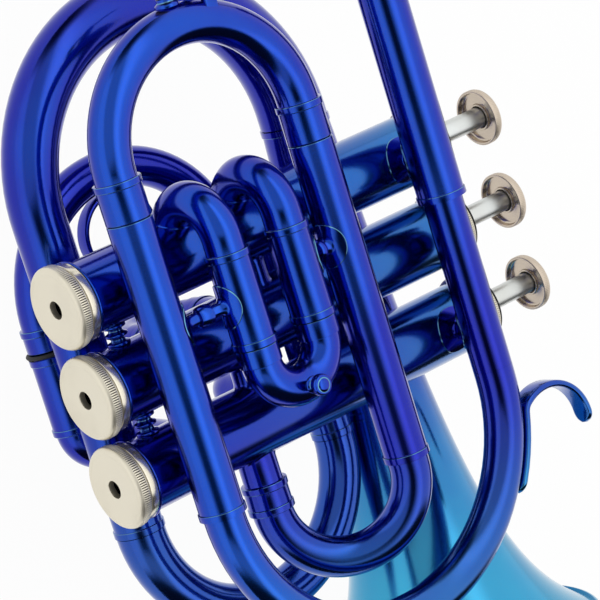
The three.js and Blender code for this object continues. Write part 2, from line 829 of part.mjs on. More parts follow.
// First valve slide: knuckles turn out of the rear of the casing into forward sleeves
function firstSleeve(height) {
  const mouth = place(firstSleeveFront, height, firstPlane);
  const geometry = tube(mouth, REAR, Y, slideSleeveRadius + beadHeight, slideBore)
    .run(beadWidth)
    .walls(slideSleeveRadius, slideBore)
    .run(firstSleeveFront - firstSleeveRear - 2 * beadWidth)
    .walls(slideSleeveRadius + beadHeight, slideBore)
    .run(beadWidth)
    .walls(slideBowRadius, slideTubeBore)
    .run(firstSleeveRear - firstKnuckleRear)
    .bend(firstPlane / 2, LEFT, Math.PI, BOW_STEPS)
    .geometry();
  return cut(geometry, casingTool(firstCasing));
}
piece("first_slide_lower_sleeve", firstSleeve(firstLowHeight), lacquer());
piece("first_slide_upper_sleeve", firstSleeve(firstHighHeight), lacquer());

// A slide bow with two inner tubes: it starts at the end of one leg and comes back up the other
function slideCrook(start, heading, across, insert, ferrule, steps, sides) {
  return tube(start, heading, Y, slideTubeRadius, slideTubeBore, sides)
    .run(insert)
    .walls(slideSleeveRadius, slideTubeBore)
    .run(ferrule)
    .walls(slideBowRadius, slideTubeBore)
    .bend(across.length() / 2, across, Math.PI, steps)
    .walls(slideSleeveRadius, slideTubeBore)
    .run(ferrule)
    .walls(slideTubeRadius, slideTubeBore)
    .run(insert)
    .geometry();
}

const firstCrookStart = firstSleeveFront + jointGap;
const firstCrook = slideCrook(
  place(firstCrookStart - firstLegInsert, firstLowHeight, firstPlane),
  X,
  place(0, firstHighHeight - firstLowHeight, 0),
  firstLegInsert,
  firstFerruleLength,
  BOW_STEPS,
);
piece("first_slide_crook", firstCrook, lacquer());

// Pull knob on the crown of the first slide's bow
const knobX = firstCrookStart + firstFerruleLength + (firstHighHeight - firstLowHeight) / 2;
const knobFoot = firstPlane + slideBowRadius + jointGap;
const knob = turned(
  [
    [0, 0],
    [knobNeckRadius, 0],
    [knobNeckRadius, knobNeckHeight],
    [knobRadius, knobNeckHeight + knobHeight * knobRoundShare],
    [knobRadius, knobNeckHeight + knobHeight * (1 - knobRoundShare)],
    [knobRadius / 2, knobNeckHeight + knobHeight],
    [0, knobNeckHeight + knobHeight],
  ],
  SMALL_SIDES,
).rotateX(Math.PI / 2);
const knobHeightOnBow = (firstHighHeight + firstLowHeight) / 2;
piece("first_slide_pull_knob", knob, lacquer(), place(knobX, knobHeightOnBow, knobFoot));

// Second valve slide: two short sleeves out of the left of the middle casing, and a small bow
function secondSleeve(height) {
  const mouth = place(middleCasing, height, secondSleeveOuter);
  const geometry = tube(mouth, Z, Y, slideSleeveRadius + beadHeight, slideBore, HIDDEN_SLIDE_SIDES)
    .run(beadWidth)
    .walls(slideSleeveRadius, slideBore)
    .run(-secondSleeveOuter - beadWidth)
    .geometry();
  return cut(geometry, casingTool(middleCasing));
}
piece("second_slide_lower_sleeve", secondSleeve(secondLowHeight), lacquer());
piece("second_slide_upper_sleeve", secondSleeve(secondHighHeight), lacquer());
const secondCrookStart = secondSleeveOuter - jointGap;
piece(
  "second_slide_crook",
  slideCrook(
    place(middleCasing, secondLowHeight, secondCrookStart + secondLegInsert),
    LEFT,
    place(0, secondHighHeight - secondLowHeight, 0),
    secondLegInsert,
    secondFerruleLength,
    BOW_STEPS,
    HIDDEN_SLIDE_SIDES,
  ),
  lacquer(),
);

// Third valve slide: sleeves whose elbows turn into the last casing, and a long bow that pulls rearward
function thirdSleeve(height, toward) {
  const mouth = place(thirdSleeveRear, height, thirdPlane);
  const geometry = tube(mouth, X, Y, slideSleeveRadius + beadHeight, slideBore, HIDDEN_SLIDE_SIDES)
    .run(beadWidth)
    .walls(slideSleeveRadius, slideBore)
    .run(thirdSleeveFront - thirdSleeveRear - 2 * beadWidth)
    .walls(slideSleeveRadius + beadHeight, slideBore)
    .run(beadWidth)
    .walls(slideBowRadius, slideTubeBore)
    .bend(thirdElbowRadius, toward, Math.PI / 2, ELBOW_STEPS)
    .bend(thirdInletRadius, thirdInward, Math.PI / 2, ELBOW_STEPS)
    .run(-thirdPlane - thirdInletRadius - casingRadius / 2)
    .geometry();
  return cut(geometry, casingTool(lastCasing));
}
piece("third_slide_lower_sleeve", thirdSleeve(thirdLowHeight, Y), lacquer());
piece("third_slide_upper_sleeve", thirdSleeve(thirdHighHeight, DOWN), lacquer());

const thirdFerruleFront = thirdFerruleRear + thirdFerruleLength;
piece(
  "third_slide_crook",
  slideCrook(
    place(thirdFerruleFront + thirdLegInsert, thirdLowHeight, thirdPlane),
    REAR,
    place(0, thirdHighHeight - thirdLowHeight, 0),
    thirdLegInsert,
    thirdFerruleLength,
    LONG_BOW_STEPS,
    HIDDEN_SLIDE_SIDES,
  ),
  lacquer(),
);
const thirdOring = new THREE.TorusGeometry(
  slideTubeRadius + jointGap / 2 + oRingReach / 2,
  oRingReach / 2,
  ORING_SECTION_SIDES,
  TUBE_SIDES,
).rotateY(Math.PI / 2);
piece(
  "third_slide_o_ring",
  thirdOring,
  blackRubber(),
  place((thirdFerruleFront + thirdSleeveRear) / 2, thirdLowHeight, thirdPlane),
);
const thirdHalfSpan = (thirdHighHeight - thirdLowHeight) / 2;
const fingerRingAt = place(
  thirdFerruleRear - thirdHalfSpan + slideBowRadius + jointGap + fingerRingRadius,
  thirdLowHeight + thirdHalfSpan,
  thirdPlane,
);
piece(
  "third_slide_finger_ring",
  tube(
    place(0, 0, -fingerRingWidth / 2),
    Z,
    Y,
    fingerRingRadius,
    fingerRingRadius - fingerRingWall,
    VALVE_SIDES,
  )
    .run(fingerRingWidth)
    .geometry(),
  lacquer(),
  fingerRingAt,
);

// Bell side: out of the first valve, forward along the left, round the front bow and back low down
const branchElbow = tube(place(firstCasing, branchPort, 0), LEFT, Y, branchRadius, slideTubeBore)
  .run(-branchPlane - branchElbowRadius)
  .bend(branchElbowRadius, Y, Math.PI / 2, ELBOW_STEPS)
  .bend(branchElbowRadius, X, Math.PI / 2, ELBOW_STEPS)
  .run(frontBowStart - beadWidth - jointGap - firstCasing - branchElbowRadius)
  .walls(branchRadius + beadHeight, slideTubeBore)
  .run(beadWidth)
  .geometry();
piece("upper_bell_branch", cut(branchElbow, casingTool(firstCasing)), lacquer());

const frontBowDrop = place(0, lowerBranchHeight - branchHeight, lowerBranchPlane - branchPlane);
const frontBowNormal = frontBowDrop.clone().normalize();
const frontBowFoot = place(frontBowStart, branchHeight, branchPlane);
piece(
  "bell_front_bow",
  tube(frontBowFoot, X, frontBowNormal, branchRadius, branchRadius - tubeWall)
    .bend(
      frontBowDrop.length() / 2,
      frontBowDrop,
      Math.PI,
      LONG_BOW_STEPS,
      lowerBranchFrontRadius,
      lowerBranchFrontRadius - tubeWall,
    )
    .geometry(),
  lacquer(),
);
piece(
  "lower_bell_branch",
  tube(
    place(frontBowStart - jointGap, lowerBranchHeight, lowerBranchPlane),
    REAR,
    Y,
    lowerBranchFrontRadius + beadHeight,
    lowerBranchFrontRadius - tubeWall,
  )
    .run(beadWidth)
    .walls(lowerBranchFrontRadius, lowerBranchFrontRadius - tubeWall)
    .run(
      frontBowStart - 2 * jointGap - beadWidth - rearBowJoint,
      lowerBranchRearRadius,
      lowerBranchRearRadius - tubeWall,
    )
    .geometry(),
  lacquer(),
);

const rearBowRise = place(0, bellHeight - lowerBranchHeight, bellPlane - lowerBranchPlane);
const rearBowNormal = rearBowRise.clone().normalize();
piece(
  "bell_rear_bow",
  tube(
    place(rearBowJoint, lowerBranchHeight, lowerBranchPlane),
    REAR,
    rearBowNormal,
    lowerBranchRearRadius + beadHeight,
    lowerBranchRearRadius - tubeWall,
  )
    .run(beadWidth)
    .walls(lowerBranchRearRadius, lowerBranchRearRadius - tubeWall)
    .run(rearBowJoint - beadWidth - rearBowStart)
    .bend(
      rearBowRise.length() / 2,
      rearBowRise,
      Math.PI,
      LONG_BOW_STEPS,
      bellStemRadius,
      bellStemRadius - tubeWall,
    )
    .run(bellJoint - rearBowStart - jointGap)
    .geometry(),
  lacquer(),
);

// Bell: a flare whose radius grows as a power of the distance that is left to a point beyond the rim
const flareReach = bellRim - bellJoint;
const flarePower =
  Math.log(bellRimRadius / bellStemRadius) / Math.log((flareReach + bellFlareRange) / bellFlareRange);
const flareRadius = (along) =>
  bellStemRadius * ((flareReach + bellFlareRange) / (flareReach + bellFlareRange - along)) ** flarePower;
const flareStationShares = [0.32, 0.53, 0.68, 0.79, 0.875, 0.935, 0.975];

function bell() {
  const horn = tube(
    place(bellJoint, bellHeight, bellPlane),
    X,
    Y,
    bellStemRadius + beadHeight,
    bellStemRadius - bellWall,
    BELL_SIDES,
  )
    .run(beadWidth)
    .walls(bellStemRadius, bellStemRadius - bellWall);
  let reached = beadWidth;
  flareStationShares.forEach((share) => {
    const along = share * flareReach;
    const radius = flareRadius(along);
    horn.run(along - reached, radius, radius - bellWall);
    reached = along;
  });
  const lip = flareReach - reached;
  const mouthRadius = bellRimRadius - bellBeadRadius - bellWall;
  return horn
    .run(lip - bellBeadRadius, bellRimRadius - bellBeadRadius, mouthRadius - bellBeadRadius)
    .walls(bellRimRadius, mouthRadius - bellBeadRadius)
    .run(bellBeadRadius * 2, bellRimRadius, mouthRadius)
    .geometry();
}
piece("bell", bell(), lacquer());

// Braces: a rod with a collar, and at each end a round saddle that wraps the tube that it is soldered to
function saddle(centre, axis, radius, toward) {
  const reach = saddleRadius + overrun;
  const [low, high] = [-reach, reach].map((step) => centre.clone().addScaledVector(axis, step));
  const shell = solid(bar(low, high, radius + jointGap + saddleThickness, TUBE_SIDES));
  const outside = centre.clone().addScaledVector(toward, 2 * radius);
  return shell.intersect(solid(bar(centre, outside, saddleRadius, TUBE_SIDES)));
}

function brace(from, fromAxis, fromRadius, to, toAxis, toRadius) {
  const along = new THREE.Vector3().subVectors(to, from);
  const length = along.length();
  along.normalize();
  const clearLength = length - fromRadius - toRadius;
  const middle = from.clone().addScaledVector(along, fromRadius + clearLength / 2);
  const collar = bar(
    middle.clone().addScaledVector(along, -braceCollarWidth / 2),
    middle.clone().addScaledVector(along, braceCollarWidth / 2),
    Math.min(braceCollarRadius, saddleRadius),
  );
  const body = solid(bar(from, to, braceRodRadius))
    .add(solid(collar))
    .add(saddle(from, fromAxis, fromRadius, along))
    .add(saddle(to, toAxis, toRadius, along.clone().negate()));
  const tools = [
    [from, fromAxis, fromRadius],
    [to, toAxis, toRadius],
  ].map(([centre, axis, radius]) => {
    const reach = saddleRadius + 2 * overrun;
    const [low, high] = [-reach, reach].map((step) => centre.clone().addScaledVector(axis, step));
    return solid(bar(low, high, radius + jointGap, TUBE_SIDES));
  });
  return geometryOf(body.subtract(tools[0]).subtract(tools[1]));
}

piece(
  "brace_main_to_first_slide",
  brace(
    place(lowBracePlace, lowerSleeveHeight, mainPlane),
    X,
    mainSleeveRadius,
    place(lowBracePlace, firstLowHeight, firstPlane),
    X,
    slideSleeveRadius,
  ),
  lacquer(),
);
piece(
  "brace_first_slide_to_upper_sleeve",
  brace(
    place(highBracePlace, firstHighHeight, firstPlane),
    X,
    slideSleeveRadius,
    place(highBracePlace, upperSleeveHeight, mainPlane),
    X,
    mainSleeveRadius,
  ),
  lacquer(),
);
[
  ["rear_leadpipe_brace", firstCasing, receiverRadius],
  ["front_leadpipe_brace", lastCasing, leadpipeRadius],
].forEach(([name, x, radius]) => {
  const foot = place(x, leadpipeBraceHeight, 0);
  const end = place(x, leadpipeHeight, mainPlane);
  piece(name, brace(foot, Y, casingRadius, end, X, radius), lacquer());
});

// Little-finger hook: a strap that hugs the leadpipe bow, turns on its heel and curls over
function fingerHook() {
  const centre = new THREE.Vector2(leadpipeBowStart, lowerSleeveHeight + leadpipeHalfSpan);
  const hug = leadpipeHalfSpan + leadpipeBowRadius + jointGap + hookThickness / 2;
  const [footAngle, heelAngle, heelTurn, curlTurn] = [
    hookFootDegrees,
    hookHeelDegrees,
    hookHeelTurnDegrees,
    hookCurlTurnDegrees,
  ].map(THREE.MathUtils.degToRad);
  const polar = (radius, angle) => new THREE.Vector2(radius, 0).rotateAround(new THREE.Vector2(), angle);
  const route = [];
  let at = centre.clone().add(polar(hug, footAngle));
  let heading = footAngle + Math.PI / 2;
  const arc = (radius, turn, steps) => {
    const pivot = at.clone().add(polar(radius, heading + (Math.sign(turn) * Math.PI) / 2));
    for (let i = 0; i < steps; i += 1) {
      at = at.clone().rotateAround(pivot, turn / steps);
      heading += turn / steps;
      route.push([at, heading]);
    }
  };
  route.push([at, heading]);
  arc(hug, heelAngle - footAngle, HOOK_FOOT_STEPS);
  arc(hookHeel, -heelTurn, HOOK_HEEL_STEPS);
  arc(hookCurl, -curlTurn, HOOK_CURL_STEPS);
  const edge = (offset) => route.map(([point, way]) => point.clone().add(polar(offset, way + Math.PI / 2)));
  const outline = new THREE.Shape([...edge(hookThickness / 2), ...edge(-hookThickness / 2).reverse()]);
  return new THREE.ExtrudeGeometry(outline, { depth: hookWidth, bevelEnabled: false, steps: 1 });
}
piece("little_finger_hook", fingerHook(), lacquer(), place(0, 0, mainPlane - hookWidth / 2));

// Moving pieces of the water key
piece("water_key_lever", waterKey(), lacquer());
const padFoot = nippleTop - jointGap;
piece(
  "water_key_cork",
  bar(
    place(padFoot, bowCrown.y, mainPlane),
    place(padFoot - keyPadHeight, bowCrown.y, mainPlane),
    keyPadRadius,
  ),
  cork(),
);
piece(
  "water_key_spring",
  tube(
    place(keyPivot.x, keyPivot.y, mainPlane - keySpringRoom + jointGap),
    Z,
    Y,
    keySpringRadius + jointGap,
    keyPinRadius + slideFit,
    BORE_SIDES,
  )
    .run(2 * (keySpringRoom - jointGap))
    .geometry(),
  steel(),
);

// The whole instrument stands on the lowest point of its left side, centred on its box
const box = new THREE.Box3().setFromObject(trumpet);
const middle = box.getCenter(new THREE.Vector3());
trumpet.position.set(-middle.x, -middle.y, -box.min.z);

const root = new THREE.Group();
root.add(trumpet);
export default root;
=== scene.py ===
"""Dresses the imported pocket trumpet: drawn tubes, turned valve parts, bell, finishes and stage."""

from math import ceil, cos, log, pi, radians, sin, sqrt

import bmesh
import bpy
from bpy.props import FloatProperty, FloatVectorProperty, IntProperty, PointerProperty
from bpy.types import Operator, Panel, PropertyGroup, Scene
from mathutils import Matrix, Quaternion, Vector


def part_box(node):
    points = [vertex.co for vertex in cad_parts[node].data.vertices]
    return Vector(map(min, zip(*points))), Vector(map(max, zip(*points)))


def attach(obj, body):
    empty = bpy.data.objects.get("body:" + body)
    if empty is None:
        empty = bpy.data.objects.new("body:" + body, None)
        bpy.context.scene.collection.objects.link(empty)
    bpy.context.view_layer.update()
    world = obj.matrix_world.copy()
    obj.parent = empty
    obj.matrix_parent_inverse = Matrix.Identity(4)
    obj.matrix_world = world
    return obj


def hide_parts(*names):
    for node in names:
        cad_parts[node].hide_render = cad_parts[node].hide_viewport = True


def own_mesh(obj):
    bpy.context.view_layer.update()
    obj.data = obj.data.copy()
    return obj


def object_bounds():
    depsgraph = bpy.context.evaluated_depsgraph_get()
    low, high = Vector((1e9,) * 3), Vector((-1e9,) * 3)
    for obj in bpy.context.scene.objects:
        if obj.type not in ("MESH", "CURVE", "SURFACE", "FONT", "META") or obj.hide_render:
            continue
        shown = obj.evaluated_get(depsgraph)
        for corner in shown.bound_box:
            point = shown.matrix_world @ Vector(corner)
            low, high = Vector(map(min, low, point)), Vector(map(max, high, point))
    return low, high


bl_info = {
    "name": "Pocket trumpet",
    "version": (1, 0, 0),
    "blender": (4, 5, 0),
    "location": "3D View > Sidebar > Trumpet",
    "description": "Drawn tubes, turned valve parts, bell, finishes and stage of a pocket trumpet",
    "category": "Add Mesh",
}

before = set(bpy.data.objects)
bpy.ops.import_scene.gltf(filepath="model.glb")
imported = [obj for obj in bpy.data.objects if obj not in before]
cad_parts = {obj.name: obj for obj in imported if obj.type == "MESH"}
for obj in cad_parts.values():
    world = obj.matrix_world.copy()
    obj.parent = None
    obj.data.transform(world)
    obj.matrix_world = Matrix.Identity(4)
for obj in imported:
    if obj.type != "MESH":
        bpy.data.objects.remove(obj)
CAD_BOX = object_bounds()

X = Vector((1, 0, 0))
Y = Vector((0, 1, 0))
Z = Vector((0, 0, 1))
HALF_TURN = pi
QUARTER_TURN = pi / 2
VALVES = (1, 2, 3)
# Nearer than these, two rings or two points count as one
NEAR = 1e-6
SAME = 1e-7
# A rounding takes at most one part in this many of an edge
EDGE_PARTS = 2.2
CAMERA_RIGHT = (0.2901, 0.7458, 0.5997)
CAMERA_AHEAD = (0.2109, 0.5614, -0.8002)
# How deep each tooth in turn is cut; the same share paints its dip darker, as dirt and painted shade
TOOTH_SHARES = (0, 0.1, 1, 0.1)
SOLDER_SHARES = ((1, 0), (0.55, 0.12), (0.25, 0.4), (0, 1))
FILLET_SHARES = ((1.2, 0), (1, 0), (0.45, 0.18), (0.12, 0.6))
KNOB_SHARES = ((0.9, 0.1), (1, 0.3), (1, 0.62), (0.86, 0.84), (0.62, 0.84), (0.5, 0.94), (0.2, 1), (0, 1))
BALUSTER_SHARES = (
    (0, 1), (0.14, 1), (0.2, 0.15), (0.3, 0), (0.38, 0.35), (0.44, 0.95),
    (0.56, 0.95), (0.62, 0.35), (0.7, 0), (0.8, 0.15), (0.86, 1), (1, 1),
)


def cap_foot():
    """The middle valve's axis on the bottom cap's face, from which all heights are measured."""
    low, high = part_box("bottom_cap_2")
    return Vector(((low.x + high.x) / 2, low.y, (low.z + high.z) / 2))


ORIGIN = cap_foot()


def setting(kind=FloatProperty, **limits):
    """A function that makes one kind of property from its name, its default and its description."""

    def make(name, value, description):
        return kind(name=name, description=description, default=value, **limits)

    return make


size = setting(min=0, unit="LENGTH")
spot = setting(unit="LENGTH")
stretch = setting(FloatVectorProperty, size=2, unit="LENGTH")
point_in_space = setting(FloatVectorProperty, size=3, unit="LENGTH")
share = setting(min=0, max=1, subtype="FACTOR")
power = setting(min=0, unit="POWER")
number = setting()
count = setting(IntProperty, min=3)
colour = setting(FloatVectorProperty, size=3, min=0, max=1, subtype="COLOR")


def turn(name, degrees, description):
    return setting(subtype="ANGLE")(name, radians(degrees), description)


class MeshDetail(PropertyGroup):
    """How finely the round surfaces are divided, and how their edges are eased."""

    tube_sides: count("Tube sides", 56, "Sides of a tube's round section")
    small_sides: count("Small sides", 28, "Sides of rods, wires and small turned parts")
    valve_sides: count("Valve sides", 72, "Sides of casings, caps and buttons")
    bell_sides: count("Bell sides", 128, "Sides of the bell")
    bend_step: turn("Bend step", 4, "Turn between two rings of a bend")
    ease_steps: count("Ease steps", 4, "Rings across an eased edge")
    tube_ease: size("Tube ease", 0.0002, "Rounding of the edges of beads and ferrules")
    turned_ease: size("Turned ease", 0.0003, "Rounding of the edges of turned parts")
    smooth_angle: turn("Smooth angle", 38, "Edges that turn by more than this stay sharp")
    flat_angle: turn("Flat angle", 25, "Corners that turn by less than this aren't eased")
    wire_sides: count("Wire sides", 10, "Sides of a spring's wire")
    coil_steps: count("Coil steps", 24, "Rings in one turn of a spring")
    end_steps: count("End steps", 8, "Steps of a strap's round end and of a cap's lip")
    rim_steps: count("Rim steps", 6, "Steps of a button's round rim")
    corner_steps: count("Corner steps", 3, "Steps of a strap's round edges")
    bumper_sides: count("Bumper sides", 16, "Sides of the O-ring's round section")
    floor_sides: count("Floor sides", 96, "Sides of the floor")
    wall_fit: size("Wall fit", 0.006, "Length over which a tube's end is fitted to a casing")


class ValveSizes(PropertyGroup):
    """The three valves, from the bottom caps to the finger buttons."""

    spacing: size("Valve spacing", 0.026, "Distance between two valve axes")
    casing_radius: size("Casing radius", 0.0104, "Outside of a valve casing")
    casing_bore: size("Casing bore", 0.0089, "Inside of a valve casing")
    thread_radius: size("Thread radius", 0.0101, "Outside of the casing's threads")
    casing_foot: size("Casing foot", 0.003, "Lower end of the casing")
    casing_top: size("Casing top", 0.1344, "Upper end of the casing")
    shoulder_high: size("Upper shoulder", 0.1316, "Start of the upper thread")
    ring_radius: size("Foot ring radius", 0.0114, "Outside of the ring at the casing's foot")
    ring_low: size("Foot ring start", 0.0069, "Lower face of the ring at the casing's foot")
    ring_high: size("Foot ring end", 0.0077, "Upper face of the ring at the casing's foot")
    link_high: size("Knuckle 2 to 1", 0.063, "Height of the knuckle between valves 2 and 1")
    link_low: size("Knuckle 3 to 2", 0.054, "Height of the knuckle between valves 3 and 2")
    baluster_height: size("Baluster height", 0.016, "Height of the balusters between casings")
    baluster_radius: size("Baluster radius", 0.0033, "Widest ring of a baluster")
    baluster_neck: size("Baluster neck", 0.0019, "Neck of a baluster")
    solder_reach: size("Solder reach", 0.0011, "Length of a solder fillet")
    solder_rise: size("Solder rise", 0.0007, "Height of a solder fillet")
    solder_sink: size("Solder sink", 0.0003, "Depth of a soldered end in the casing's wall")


class CapSizes(PropertyGroup):
    """Bottom caps, top caps and felts."""

    face_radius: size("Face radius", 0.0102, "Flat of the bottom cap's face")
    face_step: size("Face step", 0.00018, "Depth of the face inside its lip")
    lip_radius: size("Lip radius", 0.012, "Widest radius of the bottom cap")
    lip_height: size("Lip height", 0.0019, "Height of the rounded lip")
    hole_radius: size("Vent hole radius", 0.0026, "Vent hole in the bottom cap")
    floor: size("Cap floor", 0.0022, "Thickness of the bottom cap's face")
    knurl_end: size("Knurl end", 0.0035, "Upper end of the knurled band")
    knurl_start: size("Knurl start", 0.0013, "Lower end of the knurled band, on the lip")
    knurl_depth: size("Knurl depth", 0.0003, "Depth between two teeth of the knurl")
    knurl_teeth: count("Knurl teeth", 112, "Teeth round a bottom cap")
    groove_radius: size("Groove radius", 0.0109, "Bottom of the groove above the knurl")
    groove_end: size("Groove end", 0.0042, "Upper edge of the groove")
    collar_radius: size("Collar radius", 0.0114, "Smooth collar above the groove")
    collar_end: size("Collar end", 0.0066, "Upper end of the collar")
    skirt_gap: size("Skirt gap", 0.0003, "Room between a cap and the casing's thread")
    top_foot: size("Top cap foot", 0.1319, "Lower end of a top cap")
    top_height: size("Top cap height", 0.0051, "Height of a top cap")
    top_radius: size("Top cap radius", 0.0116, "Skirt of a top cap")
    top_shoulder: size("Top cap shoulder", 0.0012, "Height of the cone above the skirt")
    top_neck: size("Top cap neck", 0.0104, "Radius of a top cap's upper face")
    top_roof: size("Top cap roof", 0.0016, "Thickness of a top cap's roof")
    felt_height: size("Felt height", 0.0009, "Thickness of a stem felt")
    felt_radius: size("Felt radius", 0.0102, "Radius of a stem felt")
    felt_ease: size("Felt rounding", 0.00045, "Rounding of a stem felt's edges")


class ButtonSizes(PropertyGroup):
    """Stems, finger buttons and valve springs."""

    stem_radius: size("Stem radius", 0.0031, "Radius of a valve stem")
    stem_foot: size("Stem foot", 0.1337, "Lower end of a valve stem")
    radius: size("Button radius", 0.0084, "Widest radius of a finger button")
    height: size("Button height", 0.0031, "Height of a finger button's side")
    rise: size("Button rise", 0.0194, "Height of a button over its felt")
    rim: size("Button rounding", 0.0015, "Rounding of the button's upper edge")
    wall: size("Button wall", 0.0008, "Thickness of the rim under the button")
    floor: size("Button floor", 0.0014, "Thickness of the button's top")
    hub_radius: size("Hub radius", 0.004, "Hub round the stem under the button")
    hub_height: size("Hub height", 0.0008, "Height of that hub")
    inlay_radius: size("Inlay radius", 0.006, "Inlay on top of the button")
    inlay_height: size("Inlay height", 0.0006, "Height of the inlay over the button")
    knurl_depth: size("Button knurl depth", 0.00012, "Depth of the fine knurl on the button's side")
    knurl_teeth: count("Button knurl teeth", 96, "Teeth round a button")
    fit: size("Stem fit", 0.0003, "Room between the stem and its hub")
    spring_foot: size("Spring foot", 0.1013, "Lower end of a valve spring")
    spring_top: size("Spring top", 0.1315, "Upper end of a valve spring")
    spring_radius: size("Spring radius", 0.0061, "Outside of a valve spring")
    spring_wire: size("Spring wire", 0.0009, "Thickness of the spring's wire")
    spring_turns: count("Spring turns", 9, "Turns of a valve spring")
    spring_keep: share("Spring keep", 0.47, "Length that a pressed spring keeps")


class TubeSizes(PropertyGroup):
    """Main slide, leadpipe, receiver and front crook."""

    bead_rise: size("Bead rise", 0.00035, "Height of a bead over its tube")
    bead_width: size("Bead width", 0.0019, "Width of a bead")
    gap: size("Joint gap", 0.0003, "Gap between two pieces that part")
    hairline: size("Hairline", 0.00004, "Gap between two soldered pieces")
    plane: spot("Main plane", 0.019, "Main slide and leadpipe, to the right of the valves")
    sleeve_radius: size("Main sleeve radius", 0.0064, "Outside of the main slide's sleeves")
    sleeve_bore: size("Main sleeve bore", 0.0059, "Inside of the main slide's sleeves")
    leg_radius: size("Main leg radius", 0.00575, "Outside of the main slide's inner tubes")
    bore: size("Main bore", 0.00525, "Inside of the main tubes")
    bow_radius: size("Main bow radius", 0.0059, "Outside of the main slide's bow")
    low: size("Lower main height", 0.0189, "Height of the lower main sleeve")
    high: size("Upper main height", 0.0832, "Height of the upper main sleeve")
    rear: spot("Sleeve rear end", -0.0442, "Open ends of the main sleeves")
    low_front: spot("Lower sleeve front", 0.0402, "Front end of the lower main sleeve")
    high_front: spot("Upper sleeve front", 0.0502, "Front end of the upper main sleeve")
    ferrule: size("Main ferrule", 0.0111, "Length of the main slide's ferrules")
    leg: size("Main leg", 0.062, "Length of the main slide's inner tubes")
    leadpipe_height: size("Leadpipe height", 0.1217, "Height of the leadpipe")
    leadpipe_radius: size("Leadpipe radius", 0.0058, "Outside of the leadpipe and its bow")
    leadpipe_bore: size("Leadpipe bore", 0.00475, "Inside of the leadpipe")
    leadpipe_bow_front: size("Leadpipe bow run", 0.0022, "Straight end of the leadpipe's bow")
    leadpipe_insert: size("Leadpipe insert", 0.02, "Length of the leadpipe in its receiver")
    receiver_radius: size("Receiver radius", 0.0069, "Outside of the mouthpiece receiver")
    receiver_bore: size("Receiver bore", 0.00595, "Inside of the mouthpiece receiver")
    receiver_rear: spot("Receiver rear", -0.108, "Open end of the receiver")
    receiver_front: spot("Receiver front", -0.0135, "Front end of the receiver")
    receiver_ring: size("Receiver ring radius", 0.0082, "Ring at the receiver's mouth")
    receiver_ring_length: size("Receiver ring length", 0.006, "Length of that ring")
    stub_height: size("Stub height", 0.047, "Height of the third valve's front port")
    stub_front: spot("Stub ferrule front", 0.0519, "Front of the ferrule on the front crook")
    stub_ferrule: size("Stub ferrule", 0.0086, "Length of the ferrule on the front crook")


class SlideSizes(PropertyGroup):
    """The three valve slides."""

    sleeve_radius: size("Slide sleeve radius", 0.0061, "Outside of the valve slides' sleeves")
    sleeve_bore: size("Slide sleeve bore", 0.0056, "Inside of the valve slides' sleeves")
    leg_radius: size("Slide leg radius", 0.00545, "Outside of the slides' inner tubes")
    bore: size("Slide bore", 0.00495, "Inside of the slides' inner tubes")
    bow_radius: size("Slide bow radius", 0.00565, "Outside of the slides' bows")
    first_plane: spot("First plane", 0.022, "First slide, to the right of the valves")
    first_low: size("First low height", 0.0435, "Height of the first slide's lower tube")
    first_high: size("First high height", 0.0646, "Height of the first slide's upper tube")
    first_front: spot("First sleeve front", 0.0006, "Open ends of the first slide's sleeves")
    first_rear: spot("First sleeve rear", -0.0264, "Rear ends of the first slide's sleeves")
    first_knuckle: spot("First knuckle", -0.03, "Start of the knuckles into the first casing")
    first_ferrule: size("First ferrule", 0.005, "Length of the first slide's ferrules")
    first_leg: size("First leg", 0.022, "Length of the first slide's inner tubes")
    knuckle_turn: turn("Knuckle turn", 146, "Turn of a knuckle up to the casing's wall")
    knob_radius: size("Knob radius", 0.0031, "Radius of the pull knob")
    knob_neck: size("Knob neck radius", 0.0017, "Neck of the pull knob")
    knob_neck_height: size("Knob neck height", 0.0014, "Height of the knob's neck")
    knob_height: size("Knob height", 0.0034, "Height of the knob over its neck")
    second_low: size("Second low height", 0.041, "Height of the second slide's lower tube")
    second_high: size("Second high height", 0.062, "Height of the second slide's upper tube")
    second_outer: spot("Second sleeve end", -0.026, "Open ends of the second slide's sleeves")
    second_ferrule: size("Second ferrule", 0.004, "Length of the second slide's ferrules")
    second_leg: size("Second leg", 0.013, "Length of the second slide's inner tubes")
    third_plane: spot("Third plane", -0.037, "Third slide, to the left of the valves")
    third_low: size("Third low height", 0.0162, "Height of the third slide's lower tube")
    third_high: size("Third high height", 0.0835, "Height of the third slide's upper tube")
    third_front: spot("Third sleeve front", 0.0161, "Front ends of the third slide's sleeves")
    third_rear: spot("Third sleeve rear", -0.0069, "Open ends of the third slide's sleeves")
    third_ferrule_rear: spot("Third ferrule rear", -0.0155, "Rear ends of its ferrules")
    third_ferrule: size("Third ferrule", 0.0067, "Length of the third slide's ferrules")
    third_leg: size("Third leg", 0.018, "Length of the third slide's inner tubes")
    third_elbow: size("Third elbow", 0.0084, "Bend radius of the third slide's elbows")
    third_inlet: size("Third inlet", 0.008, "Bend radius of its turns to the casing")
    oring_wire: size("O-ring thickness", 0.0013, "Thickness of the rubber ring")
    ring_radius: size("Finger ring radius", 0.0125, "Outside of the finger ring")
    ring_wall: size("Finger ring wall", 0.0014, "Thickness of the finger ring")
    ring_width: size("Finger ring width", 0.005, "Width of the finger ring")


